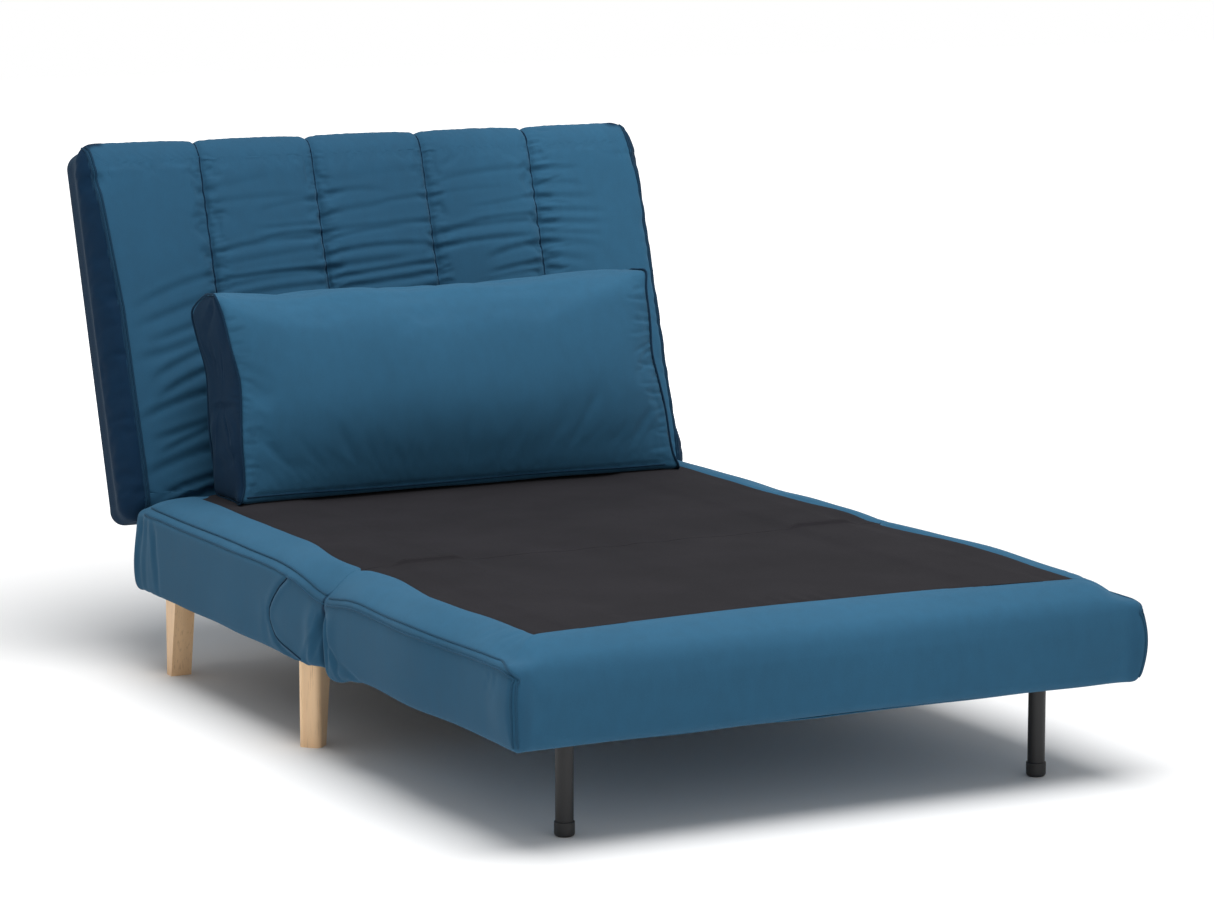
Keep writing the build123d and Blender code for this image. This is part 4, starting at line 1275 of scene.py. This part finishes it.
def make_pillow():
    count = 140
    inner = np.linspace(-1, 1, 109)
    insets = (0.96, 0.8, 0.62, 0.44, 0.28, 0.15, 0.06)

    def ring_at(u, shrink):
        share = (1 - np.abs(u) ** 2.6) ** 0.75
        profile = pillow_profile(float(share), count)
        middle = profile.mean(0)
        profile = middle + (profile - middle) * (1 - shrink)
        pulled = end_pull(profile[:, 1]) * abs(u) ** 6
        x = PILLOW_MID + u * PILLOW_HALF * 0.995 - np.sign(u) * pulled
        x = x + np.sign(u) * 0.006 * math.sin(math.pi * min(shrink, 0.5))
        return np.stack([x, profile[:, 0] + FOLD_Y, profile[:, 1]], 1)
    rings = ([ring_at(-1.0, shrink) for shrink in insets] + [ring_at(u, 0.0) for u in inner]
             + [ring_at(1.0, shrink) for shrink in insets[::-1]])
    points = np.vstack(rings)
    faces = grid_faces(len(rings), count, close_columns=True)
    middle_low, middle_high = rings[0].mean(0), rings[-1].mean(0)
    points = np.vstack([points, middle_low, middle_high])
    last = (len(rings) - 1) * count
    for k in range(count):
        faces.append((k, (k + 1) % count, len(points) - 2))
        faces.append((last + k, last + (k + 1) % count, len(points) - 1))
    casing = new_object("pillow_casing", points, faces)
    finish_mesh(casing, MATERIALS["velvet"])
    push_out(casing, pillow_folds)
    start = coordinates(casing.data)
    reach = np.abs(start[:, 0] - PILLOW_MID) + end_pull(start[:, 2])
    hold = np.where((reach > 0.978 * PILLOW_HALF) | (start[:, 2] < 0.292), 1.0, 0.0)
    hold = np.maximum(hold, np.where(start[:, 2] < 0.345, 0.3, 0.0))
    inflate(casing, hold, 1.5, 0.012, 0.007)
    points = coordinates(casing.data)
    depth = back_local(points)[1]
    points = points - np.maximum(depth + 0.0018, 0)[:, None] * IN
    points[:, 2] = np.maximum(points[:, 2], PANEL_Z + 0.0022)
    set_coordinates(casing.data, points)
    refine(casing)
    push_out(casing, pillow_seams)
    points = coordinates(casing.data)
    # painted shade: the end panels darkened fully, the face below the top a little
    reach = np.abs(points[:, 0] - PILLOW_MID) + end_pull(points[:, 2])
    ends = smoothstep(PILLOW_HALF - 0.0045, PILLOW_HALF - 0.0025, reach)
    mark_painted_shade(casing, np.maximum(ends, 0.14 * smoothstep(0.6, 0.56, points[:, 2])))
    set_coordinates(casing.data, pillow_lean(points))
    settle(casing, "pillow", "velvet", "pillow_cover", "pillow_filling")
    pillow_trim(casing)


def pillow_lean(points):
    """The pillow stands a little askew, its top to the left, and its corners end in small ears."""
    x, y, z = points.T
    upward = pillow_share(z)
    moved = points.copy()
    moved[:, 0] += -0.014 * upward
    moved[:, 0] += 0.012 * (1 - upward) * smoothstep(PILLOW_MID, PILLOW_MID + PILLOW_HALF, x)
    for side in (-1, 1):
        for v, height, out, rise in ((0.572, 0.292, 0.0075, -0.001), (0.632, 0.604, 0.0045, 0.0065)):
            gap = np.sqrt((x - PILLOW_MID - side * PILLOW_HALF) ** 2 + (y - FOLD_Y - v) ** 2
                          + (z - height) ** 2)
            ear = bell(gap, 0.015)
            moved += ear[:, None] * np.array((side * out, -0.5 * out, rise))
    return moved


def end_pull(z):
    """How far the pillow's end seams are pulled in at a height."""
    up = pillow_share(z)
    return 0.01 * np.sin(math.pi * up) + 0.0045 * bell(up - 0.6, 0.11) - 0.003 * bell(up - 0.3, 0.12)


def pillow_folds(points):
    """Broad unevenness of the crowned face and the sag across the left side panel."""
    x, y, z = points.T
    u = (x - PILLOW_MID) / PILLOW_HALF
    v = y - FOLD_Y
    body = smoothstep(1.0, 0.93, np.abs(u))
    total = waves(x, z, 51, 0.25, 0.0035) * body
    top = smoothstep(0.585, 0.605, z)
    total = total + top * body * 0.003 * np.sin(x / 0.045 + 2.0 * np.sin(x / 0.16))
    side = smoothstep(0.975, 0.995, np.abs(u))
    total = total + side * creases(v, z, [(0.585, 0.478, 0.735, 0.492, 0.011, 0.009, 0.006),
                                          (0.6, 0.4, 0.69, 0.365, 0.012, 0.003, -0.004)])
    corners = [(-0.97, 0.3, 0.05, 0.006), (0.97, 0.3, 0.05, 0.006),
               (-0.95, 0.58, 0.05, 0.004), (0.96, 0.59, 0.04, 0.006)]
    for cu, cz, width, depth in corners:
        near = np.exp(-(((u - cu) * PILLOW_HALF / width) ** 2 + ((z - cz) / width) ** 2))
        total = total + near * depth * 0.4
    return total


def pillow_seams(points):
    """Edge seams sunk a little, with small gathers along them."""
    x, y, z = points.T
    u = (x - PILLOW_MID) / PILLOW_HALF
    total = -0.0022 * bell((np.abs(u) - 0.985) * PILLOW_HALF, 0.003)
    chance = np.random.default_rng(63)
    lines = []
    for side, reach, strength in ((-1, 0.022, 0.0009), (1, 0.04, 0.0015)):
        seam = PILLOW_MID + side * (PILLOW_HALF - 0.008)
        lines += gathers(chance, climb(chance, 0.305, 0.6, 0.01, 0.024), seam, 0.0, -side * reach,
                         0.3, (0.0025, 0.004), strength)
    v = y - FOLD_Y
    side_folds = [(0.58, 0.475, 0.7, 0.515, 0.0055, 0.006, 0.004),
                  (0.575, 0.44, 0.69, 0.425, 0.005, 0.0035, -0.004),
                  (0.64, 0.6, 0.7, 0.545, 0.0055, 0.004, 0.003),
                  (0.585, 0.37, 0.68, 0.335, 0.006, 0.003, 0.003)]
    total = total + smoothstep(0.975, 0.99, np.abs(u)) * creases(v, z, side_folds)
    front = smoothstep(0.68, 0.63, v) * smoothstep(0.993, 0.985, np.abs(u))
    total = total + front * creases(x, z, lines)
    total = total - front * 0.0012 * bell(z - 0.3015, 0.0025)
    return total


def pillow_trim(casing):
    """A welt along the foot of the face, and seam cords round both side panels."""
    ends = PILLOW_HALF - 0.006
    x = PILLOW_MID + np.linspace(-ends, ends + 0.011, 160)
    z = 0.2985 + 0.0012 * np.sin(x / 0.07)
    places = np.stack([x, np.full(len(x), 0.2), z], 1)
    line = sewn_line(casing, places, (0, 1, 0), 200, 4) - (0, 0.0004, 0)
    seam_cord("pillow_foot_welt", line, PILLOW_FOOT_R, "pillow", 0.8)
    for side, label in ((-1, "left"), (1, "right")):
        ring_points = pillow_profile(0.03, 150)
        x = PILLOW_MID + side * (PILLOW_HALF * 0.994 - end_pull(ring_points[:, 1]))
        route = np.stack([x, ring_points[:, 0] + FOLD_Y, ring_points[:, 1] + 0.0004], 1)
        middle = route.mean(0)
        route = pillow_lean(middle + (route - middle) * 1.004)
        seam_cord(f"pillow_{label}_seam", route, PILLOW_SEAM_R, "pillow", 0.9, closed=True)


make_camera()
make_studio()
dress_cad_nodes()
make_front_section()
make_rear_section()
black_panel("front_black_top", "front_section", FOLD_Y, PANEL_FRONT, PANEL_BOW,
            "front_black_panel")
black_panel("rear_black_top", "base", FOLD_Y, PANEL_REAR, 0.0, "rear_black_panel")
fold_strips()
bottom_sheets()
make_backrest()
make_pillow()
